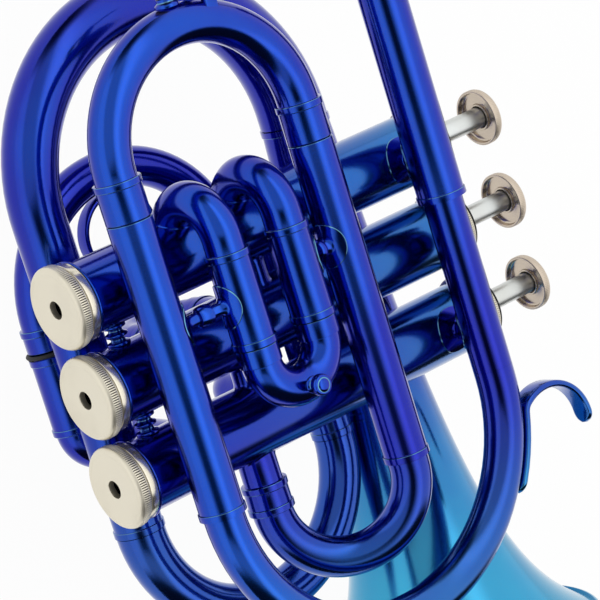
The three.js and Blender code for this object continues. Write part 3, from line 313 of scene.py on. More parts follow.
class BellSizes(PropertyGroup):
    """Bell, its branches and bows."""

    wall: size("Branch wall", 0.0005, "Wall of the branches and bows")
    branch_radius: size("Upper branch radius", 0.0061, "Outside of the upper branch")
    branch_height: size("Upper branch height", 0.0886, "Height of the upper branch")
    branch_plane: spot("Upper branch plane", -0.0201, "Upper branch, left of the valves")
    branch_elbow: size("Branch elbow", 0.008, "Bend radius of the upper branch's elbows")
    front_start: spot("Front bow start", 0.0468, "Start of the bell's front bow")
    lower_height: size("Lower branch height", 0.0171, "Height of the lower branch")
    lower_plane: spot("Lower branch plane", -0.022, "Lower branch, left of the valves")
    lower_front: size("Lower branch front radius", 0.0071, "Lower branch at its front end")
    lower_rear: size("Lower branch rear radius", 0.0077, "Lower branch at its rear end")
    rear_joint: spot("Rear bow joint", -0.026, "Joint of the lower branch and rear bow")
    rear_start: spot("Rear bow start", -0.0448, "Start of the rear bow's bend")
    bell_height: size("Bell height", 0.112, "Height of the bell's axis")
    bell_plane: spot("Bell plane", -0.0254, "Bell's axis, left of the valves")
    stem_radius: size("Bell stem radius", 0.0101, "Bell at its joint")
    joint: spot("Bell joint", -0.042, "Rear end of the bell")
    rim: spot("Bell rim", 0.127, "Middle of the bell's rolled rim")
    rim_radius: size("Bell rim radius", 0.046, "Outside of the bell's rim")
    bead_radius: size("Rim bead radius", 0.0011, "Radius of the rolled rim")
    flare_range: size("Flare range", 0.023, "How far past the rim the flare's curve would open")
    bell_wall: size("Bell wall", 0.0008, "Wall of the bell")
    roll_turn: turn("Rim roll", 200, "How far the bell's rim is rolled round its bead")
    flare_rings: count("Flare rings", 72, "Rings along the bell")
    flare_crowding: number("Flare crowding", 1.6, "How much closer the rings stand toward the rim")
    roll_steps: count("Rim roll steps", 12, "Steps round the bead that the rim is rolled over")


class BraceSizes(PropertyGroup):
    """Braces, finger hook and water key."""

    rod_radius: size("Brace rod radius", 0.0019, "Rod of a brace")
    barrel_radius: size("Barrel radius", 0.0031, "Barrel in the middle of a brace")
    barrel_length: size("Barrel length", 0.0044, "Length of that barrel")
    saddle_radius: size("Saddle radius", 0.0064, "Round foot of a brace")
    casing_saddle: size("Casing saddle radius", 0.0072, "Round foot of a brace on a casing")
    saddle_height: size("Saddle thickness", 0.0004, "Thickness of that foot")
    saddle_sink: size("Saddle sink", 0.0001, "Depth of that foot in its tube")
    fillet: size("Brace fillet", 0.0011, "Rounding between a rod and its foot")
    low_brace: spot("Low brace", -0.0124, "Brace between the main and the first slide")
    high_brace: spot("High brace", -0.0153, "Brace between the first and the upper tube")
    leadpipe_brace: size("Leadpipe brace height", 0.1187, "Feet of the leadpipe's braces")
    hook_thickness: size("Hook thickness", 0.002, "Thickness of the finger hook")
    hook_width: size("Hook width", 0.007, "Width of the finger hook")
    hook_heel: size("Hook heel", 0.004, "Bend radius at the hook's heel")
    hook_curl: size("Hook curl", 0.0134, "Bend radius of the hook's curl")
    hook_foot: turn("Hook foot", 53, "Place of the hook's foot on the leadpipe's bow")
    hook_rise: turn("Hook rise", 76, "Place on the bow where the hook leaves it")
    heel_turn: turn("Heel turn", 43, "Turn of the hook's heel")
    curl_turn: turn("Curl turn", 136, "Turn of the hook's curl")
    nipple_radius: size("Nipple radius", 0.0026, "Water key's nipple")
    nipple_height: size("Nipple height", 0.0022, "Height of the nipple over the bow")
    nipple_bore: size("Nipple bore", 0.0014, "Hole of the nipple")
    pad_radius: size("Pad radius", 0.0032, "Radius of the cork pad")
    pad_height: size("Pad height", 0.002, "Thickness of the cork pad")
    key_thickness: size("Key thickness", 0.0016, "Thickness of the water key")
    key_width: size("Key width", 0.005, "Width of the water key")
    key_arm: size("Key arm", 0.011, "From the pivot to the pad")
    key_touch: size("Key touch", 0.017, "From the pivot to the finger's end")
    post_width: size("Post width", 0.002, "Width of the water key's posts")
    post_height: size("Post height", 0.0074, "Height of the posts over the crown")
    pin_radius: size("Pin radius", 0.0009, "Pin of the water key")
    key_spring_radius: size("Key spring radius", 0.0022, "Spring of the water key")
    key_spring_wire: size("Key spring wire", 0.00045, "Wire of that spring")
    key_spring_width: size("Key spring width", 0.0011, "Length of that spring along its pin")
    key_spring_turns: count("Key spring turns", 3, "Turns of that spring")
    key_fit: size("Key fit", 0.00015, "Room between the pin and the key")


class MouthpieceSizes(PropertyGroup):
    """The mouthpiece, from its rim to its shank."""

    length: size("Mouthpiece length", 0.087, "Whole length of the mouthpiece")
    insert: size("Shank insert", 0.022, "Length of the shank in the receiver")
    rim_radius: size("Rim radius", 0.0138, "Outside of the rim")
    rim_length: size("Rim length", 0.005, "Height of the rim")
    rim_ease: size("Rim rounding", 0.0016, "Rounding of the rim")
    rim_dip: size("Rim dip", 0.0004, "Depth of the rim's inner edge")
    rim_dome: size("Rim dome", 0.0001, "Depth of the rim's outer edge")
    cup_radius: size("Cup radius", 0.0082, "Mouth of the cup")
    cup_depth: size("Cup depth", 0.012, "Depth of the cup")
    cup_outer: size("Cup body radius", 0.0115, "Outside of the cup")
    body_length: size("Cup body length", 0.024, "End of the cup's body")
    neck_radius: size("Neck radius", 0.0054, "Neck behind the cup")
    neck_length: size("Neck length", 0.012, "Length of the neck behind the cup's body")
    ring_start: size("Ring start", 0.002, "Crest of the ring behind the cup's body")
    ring_end: size("Ring end", 0.0038, "End of that ring")
    shank_mouth: size("Shank radius", 0.0056, "Shank where it enters the receiver")
    shank_end: size("Shank end radius", 0.0049, "Small end of the shank")
    throat: size("Throat radius", 0.0019, "Narrowest place of the bore")
    backbore: size("Backbore radius", 0.0041, "Bore at the shank's end")


class FinishSizes(PropertyGroup):
    """Where the lacquer thins to teal or is darkened toward violet as painted shade, where nickel yellows
    and darkens as painted shade, and how fine their grain is.
    """

    casing_thinning: stretch("Casing thinning", (0.08, 0.118), "Where the casings' lacquer thins")
    casing_share: share("Casing share", 0.45, "How thin the casings' lacquer gets")
    bell_thinning: stretch("Bell thinning", (0.005, 0.1), "Where the bell's lacquer thins toward its rim")
    bell_share: share("Bell share", 0.82, "How thin the bell's lacquer gets")
    branch_thinning: stretch("Branch thinning", (-0.01, 0.04), "Where the bell branches' lacquer thins")
    branch_share: share("Branch share", 0.25, "How thin the lacquer of the bell's branches gets")
    bow_thinning: stretch("Bow thinning", (0.03, 0.09), "Where the front bows' lacquer thins")
    bow_share: share("Bow share", 0.36, "How thin the front bows' lacquer gets")
    hook_thinning: stretch("Hook thinning", (0.03, 0.1), "Where the hook's lacquer thins")
    hook_share: share("Hook share", 0.8, "How thin the hook's lacquer gets")
    # The next five ranges place painted shade: they darken the lacquer toward violet on the far rear bows,
    # upward and at the front
    far_side: stretch("Far side", (0.075, 0.045), "Levels between which the rear bows' lacquer deepens")
    far_rear: stretch("Far side's rear", (0.04, -0.02), "Where that deepening comes in toward the rear")
    high: stretch("High places", (-0.06, 0.02), "Heights between which the lacquer deepens upward")
    front: stretch("Front", (0, 0.06), "Where the front's deepening comes in")
    near_side: stretch("Near side", (0.088, 0.078), "Levels between which the front's lacquer deepens")
    # Toward the buttons the nickel turns warmer and darker: a warmer tone with painted shade
    yellowing: stretch("Yellowing", (0.06, 0.07), "Heights between which nickel yellows")
    coarse_grain: size("Coarse grain", 0.0002, "Height of the grain of lacquer, felt, rubber and cork")
    fine_grain: size("Fine grain", 0.0001, "Height of the grain of bare metal and nylon")


class FinishColours(PropertyGroup):
    """Colours of the finishes."""

    lacquer: colour("Lacquer", (0.006, 0.07, 0.5), "Blue lacquer seen straight on")
    # Also painted as shade where the finish darkens the lacquer by place
    lacquer_deep: colour("Deep lacquer", (0.012, 0.019, 0.35), "Blue lacquer seen at a slant")
    lacquer_teal: colour("Thin lacquer", (0.035, 0.34, 0.56), "Thinner, greener lacquer")
    # Lighter edges: partly rubbed lacquer, partly a painted edge highlight
    worn_edge: colour("Worn edge", (0.1, 0.26, 0.42), "Bright metal under thin lacquer")
    nickel: colour("Nickel", (0.79, 0.74, 0.61), "Warm satin nickel of the caps")
    # Darker than the caps' nickel as painted shade, and warmer
    nickel_warm: colour("Yellowed nickel", (0.62, 0.53, 0.43), "Yellowed nickel of the buttons")
    # Painted shade as well as dirt in the dips between teeth
    nickel_dark: colour("Nickel shade", (0.055, 0.05, 0.045), "Grime between the knurl's teeth")
    silver: colour("Silver", (0.72, 0.75, 0.74), "Silver of stems, pistons and mouthpiece")
    tarnish: colour("Tarnish", (0.42, 0.38, 0.3), "Faint tarnish on silver and nickel")
    steel: colour("Steel", (0.4, 0.41, 0.43), "Spring wire")
    felt: colour("Felt", (0.006, 0.006, 0.007), "Black felt")
    rubber: colour("Rubber", (0.008, 0.008, 0.009), "Black rubber")
    nylon: colour("Nylon", (0.78, 0.76, 0.7), "White nylon")
    cork: colour("Cork", (0.46, 0.27, 0.12), "Cork")
    cork_dark: colour("Cork pores", (0.14, 0.07, 0.03), "Pores of the cork")
    floor: colour("Floor", (0.93, 0.93, 0.93), "Pale floor")


class StageSizes(PropertyGroup):
    """Floor, light and camera."""

    floor_radius: size("Floor radius", 0.9, "Radius of the round floor")
    camera: point_in_space("Camera", (-0.16935, -0.5152, 0.8013), "Place of the camera")
    lens: number("Lens", 193.84, "Lens in millimetres")
    lamp_height: size("Lamp height", 0.9, "Height of the soft lamp over the floor")
    lamp_side: size("Lamp size", 0.8, "Side of the soft lamp")
    lamp_power: power("Lamp power", 3.2, "Power of the soft lamp")
    sky_level: share("Sky level", 0.72, "Brightness of the room that lights matt surfaces")
    dark_level: share("Dark level", 0.02, "Brightness of the dark gaps that metal mirrors")
    near_start: turn("Near panel start", -8, "Lower edge of the front light panel about X")
    near_end: turn("Near panel end", 106, "Upper edge of the front light panel about X")
    far_start: turn("Far panel start", 144, "Upper edge of the rear light panel about X")
    far_end: turn("Far panel end", 205, "Lower edge of the rear light panel about X")
    panel_fade: turn("Panel fade", 9, "Soft edge of the light panels")
    slit_fade: turn("Slit fade", 13, "Soft edges of the dark slit between the panels")
    slit_rear: number("Slit rear", 0.02, "Rear end of the slit")
    slit_front: number("Slit front", 0.36, "Front end of the slit")
    bridge_level: share("Bridge level", 0.6, "Brightness past the slit's ends")
    hot_middle: turn("Hot strip", 82, "Middle of the brightest strip of the front panel")
    hot_reach: turn("Hot strip reach", 22, "Half width of that strip")
    hot_gain: share("Hot strip gain", 0.5, "How much brighter that strip is")
    panel_level: number("Panel level", 1.15, "Brightness of the panels")
    panel_low: number("Panel rear", -0.85, "Rear end of the panels")
    panel_high: number("Panel front", 0.55, "Front end of the panels")
    panel_edge: share("Panel end fade", 0.15, "Soft ends of the panels along X")


GROUPS = {
    "detail": MeshDetail,
    "valves": ValveSizes,
    "caps": CapSizes,
    "buttons": ButtonSizes,
    "tubes": TubeSizes,
    "slides": SlideSizes,
    "bell": BellSizes,
    "braces": BraceSizes,
    "mouthpiece": MouthpieceSizes,
    "finish": FinishSizes,
    "colours": FinishColours,
    "stage": StageSizes,
}


def group(name):
    """The scene's sizes or colours of one kind."""
    return getattr(bpy.context.scene, f"trumpet_{name}")


def groups(*names):
    return map(group, names)


def math_node(operation, swapped=False):
    """An operator between two signals or numbers that adds one Math node."""

    def write(self, other):
        first, second = (other, self) if swapped else (self, other)
        return self.sheet.node("ShaderNodeMath", {"operation": operation}, {0: first, 1: second}, 0)

    return write


class Signal:
    """A shader socket: an expression on it adds its Math nodes."""

    def __init__(self, sheet, socket):
        self.sheet = sheet
        self.socket = socket

    __add__ = math_node("ADD")
    __radd__ = math_node("ADD", swapped=True)
    __sub__ = math_node("SUBTRACT")
    __rsub__ = math_node("SUBTRACT", swapped=True)
    __mul__ = math_node("MULTIPLY")
    __rmul__ = math_node("MULTIPLY", swapped=True)
    most = math_node("MAXIMUM")
    angle_from = math_node("ARCTAN2")

    def ramp(self, start, end, low=0, high=1):
        values = {0: self, 1: start, 2: end, 3: low, 4: high}
        settings = {"interpolation_type": "SMOOTHSTEP", "clamp": True}
        return self.sheet.node("ShaderNodeMapRange", settings, values, 0)


class NodeSheet:
    """The node tree of a material or a world that is being written."""

    def __init__(self, owner):
        owner.use_nodes = True
        self.owner = owner
        self.tree = owner.node_tree
        self.tree.nodes.clear()

    def node(self, kind, settings=None, values=None, output=None):
        made = self.tree.nodes.new(kind)
        for key, value in (settings or {}).items():
            setattr(made, key, value)
        for key, value in (values or {}).items():
            if isinstance(value, Signal):
                self.tree.links.new(value.socket, made.inputs[key])
            else:
                made.inputs[key].default_value = value
        return made if output is None else Signal(self, made.outputs[output])

    def blend(self, factor, *colours):
        """Mixes two colours, each a signal or three numbers."""
        first, second = (tint if isinstance(tint, Signal) else (*tint, 1) for tint in colours)
        return self.node("ShaderNodeMix", {"data_type": "RGBA"}, {0: factor, 6: first, 7: second}, 2)

    def grain(self, coordinates, scale, detail=2, roughness=0.5):
        values = {"Vector": coordinates, "Scale": scale, "Detail": detail, "Roughness": roughness}
        return self.node("ShaderNodeTexNoise", None, values, "Fac")

    def place(self, output="Object"):
        return self.node("ShaderNodeTexCoord", None, None, output)

    def parts(self, vector):
        made = self.node("ShaderNodeSeparateXYZ", None, {0: vector})
        return [Signal(self, made.outputs[name]) for name in "XYZ"]

    def bump(self, height, strength, distance):
        values = {"Height": height, "Strength": strength, "Distance": distance}
        return self.node("ShaderNodeBump", None, values, "Normal")

    def mark(self):
        settings = {"attribute_type": "GEOMETRY", "attribute_name": "edge_mark"}
        return self.node("ShaderNodeAttribute", settings, None, "Fac")

    def seen(self):
        """The rays of camera, mirrors and glass, and 1 for any of them."""
        path = self.node("ShaderNodeLightPath")
        names = ("Is Camera Ray", "Is Glossy Ray", "Is Transmission Ray")
        rays = [Signal(self, path.outputs[name]) for name in names]
        return rays, rays[0].most(rays[1]).most(rays[2])

    def coat(self, values):
        """Ends a material in one principled surface."""
        surface = self.node("ShaderNodeBsdfPrincipled", None, values, "BSDF")
        self.node("ShaderNodeOutputMaterial", None, {"Surface": surface})
        return self.owner


def finish_sheet(name):
    return NodeSheet(bpy.data.materials.new(name))


def blue_lacquer(colours, sizes):
    """Clear blue lacquer over bright brass: violet where it is thick, teal where it is thin. Painted shade
    darkens it toward violet on the front, the upper parts and the far rear bows, and marked edges are
    painted lighter as rubbed lacquer and painted highlight.
    """
    sheet = finish_sheet("blue_lacquer")
    place = sheet.place()
    ahead, height, side = sheet.parts(place)
    mark = sheet.mark()
    cloud = sheet.grain(place, 38, 3)
    speck = sheet.grain(place, 2600, 2, 0.6)
    thin = (mark + (cloud - 0.5) * mark * 0.6).ramp(0, -1)
    slant = sheet.node("ShaderNodeLayerWeight", None, {"Blend": 0.5}, "Facing")
    # Painted shade: the far rear bows, the upper parts and the front are darkened toward the darker violet
    # by place
    far = side.ramp(*sizes.far_side) * ahead.ramp(*sizes.far_rear)
    high = height.ramp(*sizes.high)
    front = ahead.ramp(*sizes.front) * high.most(side.ramp(*sizes.near_side))
    painted_shade_share = front * 0.34 + high * 0.12 + far * 0.3
    deeper_and_shade = (slant * 0.7 + painted_shade_share + (cloud - 0.5) * 0.3).ramp(0.02, 0.5)
    body = sheet.blend(deeper_and_shade, colours.lacquer, colours.lacquer_deep)
    body = sheet.blend(thin, body, colours.lacquer_teal)
    return sheet.coat({
        # Marked edges are painted lighter: partly rubbed lacquer, partly a painted highlight along beads,
        # ferrules and saddle rims
        "Base Color": sheet.blend(mark.ramp(0, 1), body, colours.worn_edge),
        "Metallic": 1,
        "Roughness": speck * 0.06 + cloud * 0.05 + 0.1,
        "Coat Weight": 0.35,
        "Coat Roughness": 0.05,
        "Normal": sheet.bump(speck, 0.06, sizes.coarse_grain),
    })


def satin_nickel(colours, sizes):
    """Warm satin nickel with dirt and painted shade between the teeth of the knurl, painted warmer and
    darker toward the buttons as a warmer tone and painted shade.
    """
    sheet = finish_sheet("satin_nickel")
    place = sheet.place()
    cloud = sheet.grain(place, 60, 3)
    speck = sheet.grain(place, 3200, 3, 0.65)
    mark = sheet.mark()
    # Toward the buttons the nickel is painted warmer and darker: a warmer tone and painted shade
    clean = sheet.blend(sheet.parts(place)[1].ramp(*sizes.yellowing), colours.nickel, colours.nickel_warm)
    body = sheet.blend(cloud.ramp(0.45, 0.75, 0, 0.16), clean, colours.tarnish)
    return sheet.coat({
        # The dips between teeth are darkened: dirt and painted shade
        "Base Color": sheet.blend(mark.ramp(0, 1), body, colours.nickel_dark),
        "Metallic": 0.9,
        "Roughness": speck * 0.08 + cloud * 0.08 + 0.3 - mark.ramp(0, -1) * 0.2,
        "Normal": sheet.bump(speck, 0.06, sizes.fine_grain),
    })


def bright_metal(name, colours, sizes, roughness):
    """Silver plate or polished steel, with a little tarnish."""
    sheet = finish_sheet(name)
    place = sheet.place()
    cloud = sheet.grain(place, 45, 3)
    speck = sheet.grain(place, 2400, 2, 0.6)
    return sheet.coat({
        "Base Color": sheet.blend(cloud.ramp(0.4, 0.8, 0, 0.3), colours.silver, colours.tarnish),
        "Metallic": 1,
        "Roughness": speck * 0.05 + cloud * 0.12 + roughness,
        "Normal": sheet.bump(speck, 0.03, sizes.fine_grain),
    })


def flecked(name, tints, grain, spread, rough, bump, metallic=0):
    """A finish of two tints that one grain mixes, roughens and raises."""
    sheet = finish_sheet(name)
    fleck = sheet.grain(sheet.place(), *grain)
    return sheet.coat({
        "Base Color": sheet.blend(fleck.ramp(*spread) if spread else fleck, *tints),
        "Metallic": metallic,
        "Roughness": fleck * rough[0] + rough[1],
        "Normal": sheet.bump(fleck, *bump),
    })


def with_shade(tint, amount):
    """A colour and a lighter or darker one of the same hue."""
    return tint, [part * amount for part in tint]


def spring_steel(colours, sizes):
    tints = with_shade(colours.steel, 0.6)
    bump = (0.05, sizes.fine_grain)
    return flecked("spring_steel", tints, (1800, 3, 0.6), (0.4, 0.7), (0.15, 0.25), bump, metallic=1)


def black_felt(colours, sizes):
    tints = with_shade(colours.felt, 3)
    bump = (0.6, sizes.coarse_grain)
    return flecked("black_felt", tints, (2400, 4, 0.7), (0.45, 0.75), (0.1, 0.85), bump)


def black_rubber(colours, sizes):
    tints = with_shade(colours.rubber, 3)
    bump = (0.12, sizes.coarse_grain)
    return flecked("black_rubber", tints, (900, 4, 0.7), (0.45, 0.75), (0.1, 0.55), bump)


def white_nylon(colours, sizes):
    tints = with_shade(colours.nylon, 0.86)
    return flecked("white_nylon", tints, (400, 3), None, (0.15, 0.4), (0.05, sizes.fine_grain))


def pressed_cork(colours, sizes):
    tints = colours.cork, colours.cork_dark
    bump = (0.4, sizes.coarse_grain)
    return flecked("pressed_cork", tints, (1500, 5, 0.7), (0.5, 0.62), (0.1, 0.8), bump)


MAKERS = {
    "lacquered_brass": blue_lacquer,
    "nickel_plate": satin_nickel,
    "silver_plate": lambda *looks: bright_metal("bright_silver", *looks, 0.16),
    "bright_steel": lambda *looks: bright_metal("satin_steel", *looks, 0.26),
    "spring_steel": spring_steel,
    "black_felt": black_felt,
    "black_rubber": black_rubber,
    "white_nylon": white_nylon,
    "cork": pressed_cork,
}
MADE = {}


def finish_of(slot):
    """The material of one of the record's slots, made when it is first asked for."""
    if slot not in MADE:
        MADE[slot] = MAKERS[slot](*groups("colours", "finish"))
    return MADE[slot]


def detail():
    return group("detail")


def round_points(centre, across, side, radius, sides):
    angles = [2 * pi * k / sides for k in range(sides)]
    return [centre + across * (radius * cos(a)) + side * (radius * sin(a)) for a in angles]


def quarter(steps):
    """Sine and cosine at even steps through a quarter turn, both ends with it."""
    angles = [QUARTER_TURN * k / steps for k in range(steps + 1)]
    return [(sin(angle), cos(angle)) for angle in angles]


def stepped(*runs, start=0):
    """The outline of a tube of even runs, each given by its end and its radius."""
    corners = []
    for end, radius in runs:
        corners += [(start, radius), (end, radius)]
        start = end
    return corners


def walled(bore, start, *runs):
    """The outline of a turned ring round a bore, with even runs outside."""
    outside = [(radius, height) for height, radius in stepped(*runs, start=start)]
    return [(bore, start), *outside, (bore, runs[-1][0])]


def eased(outline, ease, looped=False):
    """Rounds the corners of an outline. Each point comes back with 1 on a rounded edge and 0 elsewhere."""
    steps = detail().ease_steps
    last = len(outline) - 1
    rounded = []
    for i, point in enumerate(outline):
        corner = Vector(point)
        before = Vector(outline[i - 1]) - corner
        after = Vector(outline[(i + 1) % len(outline)]) - corner
        open_end = not looped and i in (0, last)
        if open_end or min(before.length, after.length) == 0 or before.angle(-after) < detail().flat_angle:
            rounded.append((*corner, 0))
            continue
        start = corner + before.normalized() * min(ease, before.length / EDGE_PARTS)
        end = corner + after.normalized() * min(ease, after.length / EDGE_PARTS)
        rises = before.normalized().cross(after.normalized()) > 0
        for k in range(steps):
            t = k / (steps - 1)
            spot_on = start * (1 - t) ** 2 + corner * 2 * t * (1 - t) + end * t**2
            # A 1 marks a rising eased edge, which the lacquer paints lighter as rubbed edge and painted
            # highlight
            rounded.append((*spot_on, 1 if rises and 0 < k < steps - 1 else 0))
    return rounded


def unmarked(outline):
    """The same outline with no edge marked, so none is painted lighter as rubbed edge and highlight."""
    return [(radius, height, 0) for radius, height, _ in outline]


class Route:
    """A centre line of straight runs and round bends, with a direction across it carried along."""

    def __init__(self, at, heading, across):
        self.legs = []
        self.length = 0
        self.at = Vector(at)
        self.heading = Vector(heading).normalized()
        self.across = Vector(across).normalized()

    def _leg(self, length, pivot=None, axis=None):
        leg = (self.length, length, self.at.copy(), self.heading.copy(), self.across.copy(), pivot, axis)
        self.legs.append(leg)
        self.at, self.heading, self.across = self._along(leg, length)
        self.length += length
        return self

    @staticmethod
    def _along(leg, reach):
        _, _, at, heading, across, pivot, axis = leg
        if pivot is None:
            return at + heading * reach, heading, across
        spin = Quaternion(axis, reach / (at - pivot).length)
        return pivot + spin @ (at - pivot), spin @ heading, spin @ across

    def run(self, length):
        return self._leg(length)

    def bend(self, radius, toward, angle):
        side = (toward - self.heading * toward.dot(self.heading)).normalized()
        return self._leg(radius * angle, self.at + side * radius, self.heading.cross(side))

    def frame(self, distance):
        leg = next(leg for leg in reversed(self.legs) if leg[0] <= distance or leg is self.legs[0])
        return self._along(leg, distance - leg[0])

    def cuts(self):
        """Distances where a smooth skin needs a ring."""
        marks = []
        for start, length, at, _, _, pivot, _ in self.legs:
            marks.append(start)
            if pivot is not None:
                steps = ceil(length / (at - pivot).length / detail().bend_step)
                marks.extend(start + length * k / steps for k in range(1, steps))
        return marks


def onto_cylinder(point, heading, wall):
    """How far along a heading a point meets the wall of a cylinder (centre, axis, radius)."""
    centre, axis, radius = wall
    way = heading - axis * heading.dot(axis)
    offset = (point - centre) - axis * (point - centre).dot(axis)
    b = offset.dot(way)
    inside = max(b * b - way.length_squared * (offset.length_squared - radius * radius), 0)
    return (-b - sqrt(inside)) / way.length_squared


def placed(name, data):
    made = bpy.data.objects.new(name, data)
    bpy.context.scene.collection.objects.link(made)
    return made


class Skin:
    """The points and faces of one piece, gathered ring by ring."""

    def __init__(self):
        self.points = []
        self.faces = []
        self.marks = []

    def ring(self, points, mark=0):
        start = len(self.points)
        self.points.extend(points)
        self.marks.extend(mark if isinstance(mark, list) else [mark] * len(points))
        return list(range(start, len(self.points)))

    def loft(self, rings, looped=True, tip=None):
        """Joins rings with quads. An open end is closed flat, or onto a tip."""
        pairs = list(zip(rings, rings[1:]))
        if looped:
            pairs.append((rings[-1], rings[0]))
        for first, second in pairs:
            for i, j in zip(range(len(first)), [*range(1, len(first)), 0]):
                self.faces.append((first[i], first[j], second[j], second[i]))
        if not looped:
            self.faces.append(tuple(reversed(rings[0])))
            if tip is None:
                self.faces.append(tuple(rings[-1]))
            else:
                (top,) = self.ring([tip])
                self.faces.extend((a, b, top) for a, b in zip(rings[-1], [*rings[-1][1:], rings[-1][0]]))
        return self

    def tube(self, route, outer, inner=None, wall=None, fit=None):
        """A tube's wall along a route. Its far end can be soldered onto a casing's round wall."""
        profile = eased(outer, detail().tube_ease)
        stations = self._stations(route, soldered(profile) if wall else profile)
        if inner:
            stations += reversed(self._stations(route, inner))
        rings = []
        for distance, radius, mark in stations:
            at, heading, across = route.frame(distance)
            points = round_points(at, across, heading.cross(across), radius, detail().tube_sides)
            left = route.length - distance
            weight = max(0, 1 - left / (fit or detail().wall_fit))
            if wall and weight:
                for point in points:
                    point += heading * ((onto_cylinder(point, heading, wall) - left) * weight)
            rings.append(self.ring(points, mark))
        tip = None
        if wall and not inner:
            at, heading, _ = route.frame(route.length)
            tip = at + heading * onto_cylinder(at, heading, wall)
        return self.loft(rings, looped=inner is not None, tip=tip)

    @staticmethod
    def _stations(route, profile):
        stations = []
        marked = [point if len(point) == 3 else (*point, 0) for point in profile]
        for (d0, r0, mark), (d1, r1, _) in zip(marked, marked[1:]):
            stations.append((d0, r0, mark))
            for cut in route.cuts():
                if d0 + NEAR < cut < d1 - NEAR:
                    stations.append((cut, r0 + (r1 - r0) * (cut - d0) / (d1 - d0), 0))
        stations.append(marked[-1])
        return stations

    def turned(self, outline, foot, axis=Y, across=X, sides=0, looped=False, teeth=(0, 0, 0, 0, 0, 0)):
        """A turned body about an axis, with teeth where it is wider than the least radius."""
        amount, depth, low, high, least, grime_and_shade = teeth
        around = amount * len(TOOTH_SHARES) or sides or detail().valve_sides
        side = axis.cross(across)
        rings = []
        for radius, height, *mark in outline:
            points = round_points(foot + axis * height, across, side, radius, around)
            marks = [mark[0] if mark else 0] * around
            if amount and low <= height <= high and radius > least:
                for k, point in enumerate(points):
                    dip = TOOTH_SHARES[k % len(TOOTH_SHARES)]
                    point -= (point - foot - axis * height) * (depth * dip / radius)
                    # Each dip is darkened through its mark, as dirt and painted shade
                    marks[k] = dip * grime_and_shade
            rings.append(self.ring(points, marks))
        return self.loft(rings, looped)

    def wire(self, points, radius):
        """A round wire along close points."""
        rings = []
        across = None
        for i, at in enumerate(points):
            ahead = points[min(i + 1, len(points) - 1)] - points[max(i - 1, 0)]
            heading = ahead.normalized()
            across = across or heading.orthogonal().normalized()
            across = (across - heading * across.dot(heading)).normalized()
            side = heading.cross(across)
            rings.append(self.ring(round_points(at, across, side, radius, detail().wire_sides)))
        return self.loft(rings, looped=False)

    def slab(self, route, width, thickness, corner, round_start=True):
        """A flat strap with rounded edges along a route; its width lies along the route's across."""
        wide, thick = width / 2, thickness / 2
        edge = quarter(detail().corner_steps)
        fine = [wide * (1 - cosine) for _, cosine in quarter(detail().end_steps)[1:]]
        marks = {0, *route.cuts()[1:], route.length, *(route.length - step for step in fine)}
        if round_start:
            marks.update(fine)
        rings = []
        for distance in sorted(marks):
            at, heading, across = route.frame(distance)
            side = heading.cross(across)
            half = wide
            for rounded, gone in ((round_start, distance), (True, route.length - distance)):
                if rounded and gone < wide:
                    half = min(half, sqrt(max(wide**2 - (wide - gone) ** 2, 0)))
            half = max(half, corner * 1.01)
            points = []
            for sign_across, sign_side in ((1, 1), (-1, 1), (-1, -1), (1, -1)):
                corners = edge if sign_across * sign_side < 0 else [pair[::-1] for pair in edge]
                points += [
                    at
                    + across * (sign_across * (half - corner + corner * out))
                    + side * (sign_side * (thick - corner + corner * up))
                    for out, up in corners
                ]
            rings.append(self.ring(points))
        return self.loft(rings, looped=False)

    def thinned(self, piece, axis=X):
        """Marks the lacquer as thinner along an axis. Marked edges, painted lighter as rubbed lacquer and
        highlight, keep their mark.
        """
        start, end = getattr(group("finish"), f"{piece}_thinning")
        amount = getattr(group("finish"), f"{piece}_share")
        for i, point in enumerate(self.points):
            reached = (point.dot(axis) - start) / (end - start)
            if self.marks[i] <= 0:
                self.marks[i] = -amount * min(max(reached, 0), 1)
        return self

    def finish(self, node, how, body="instrument", slot="lacquered_brass", name=None):
        """Makes the object, gives it its finish and body, and lets it stand for its CAD node."""
        name = f"{name or node}_{how}"
        mesh = bpy.data.meshes.new(name)
        mesh.from_pydata([ORIGIN + point for point in self.points], [], self.faces)
        edge_mark_layer = mesh.attributes.new("edge_mark", "FLOAT", "POINT")
        edge_mark_layer.data.foreach_set("value", [float(mark) for mark in self.marks])
        shell = bmesh.new()
        shell.from_mesh(mesh)
        bmesh.ops.remove_doubles(shell, verts=shell.verts, dist=SAME)
        bmesh.ops.recalc_face_normals(shell, faces=shell.faces)
        shell.to_mesh(mesh)
        shell.free()
        mesh.shade_smooth()
        mesh.set_sharp_from_angle(angle=detail().smooth_angle)
        piece = placed(name, mesh)
        mesh.materials.append(finish_of(slot))
        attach(piece, body)
        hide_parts(node)
        return piece


def valve_x(number):
    return (number - 2) * group("valves").spacing


def casing_wall(number):
    valves = group("valves")
    return X * valve_x(number), Y, valves.casing_radius - valves.solder_sink


def soldered(profile):
    """Lets a tube's end flare into a small solder fillet."""
    valves = group("valves")
    end, radius, _ = profile[-1]
    reach, rise = valves.solder_reach, valves.solder_rise
    return [*profile[:-1], *((end - reach * back, radius + rise * up) for back, up in SOLDER_SHARES)]


def coil(centre, across, side, radius, turns, rise):
    """Close points round a coil. rise gives the place along its axis after a share of its length."""
    steps = turns * detail().coil_steps
    points = []
    for i in range(steps + 1):
        angle = 2 * pi * turns * i / steps
        at = centre + rise(i / steps)
        points.append(at + across * (radius * cos(angle)) + side * (radius * sin(angle)))
    return points


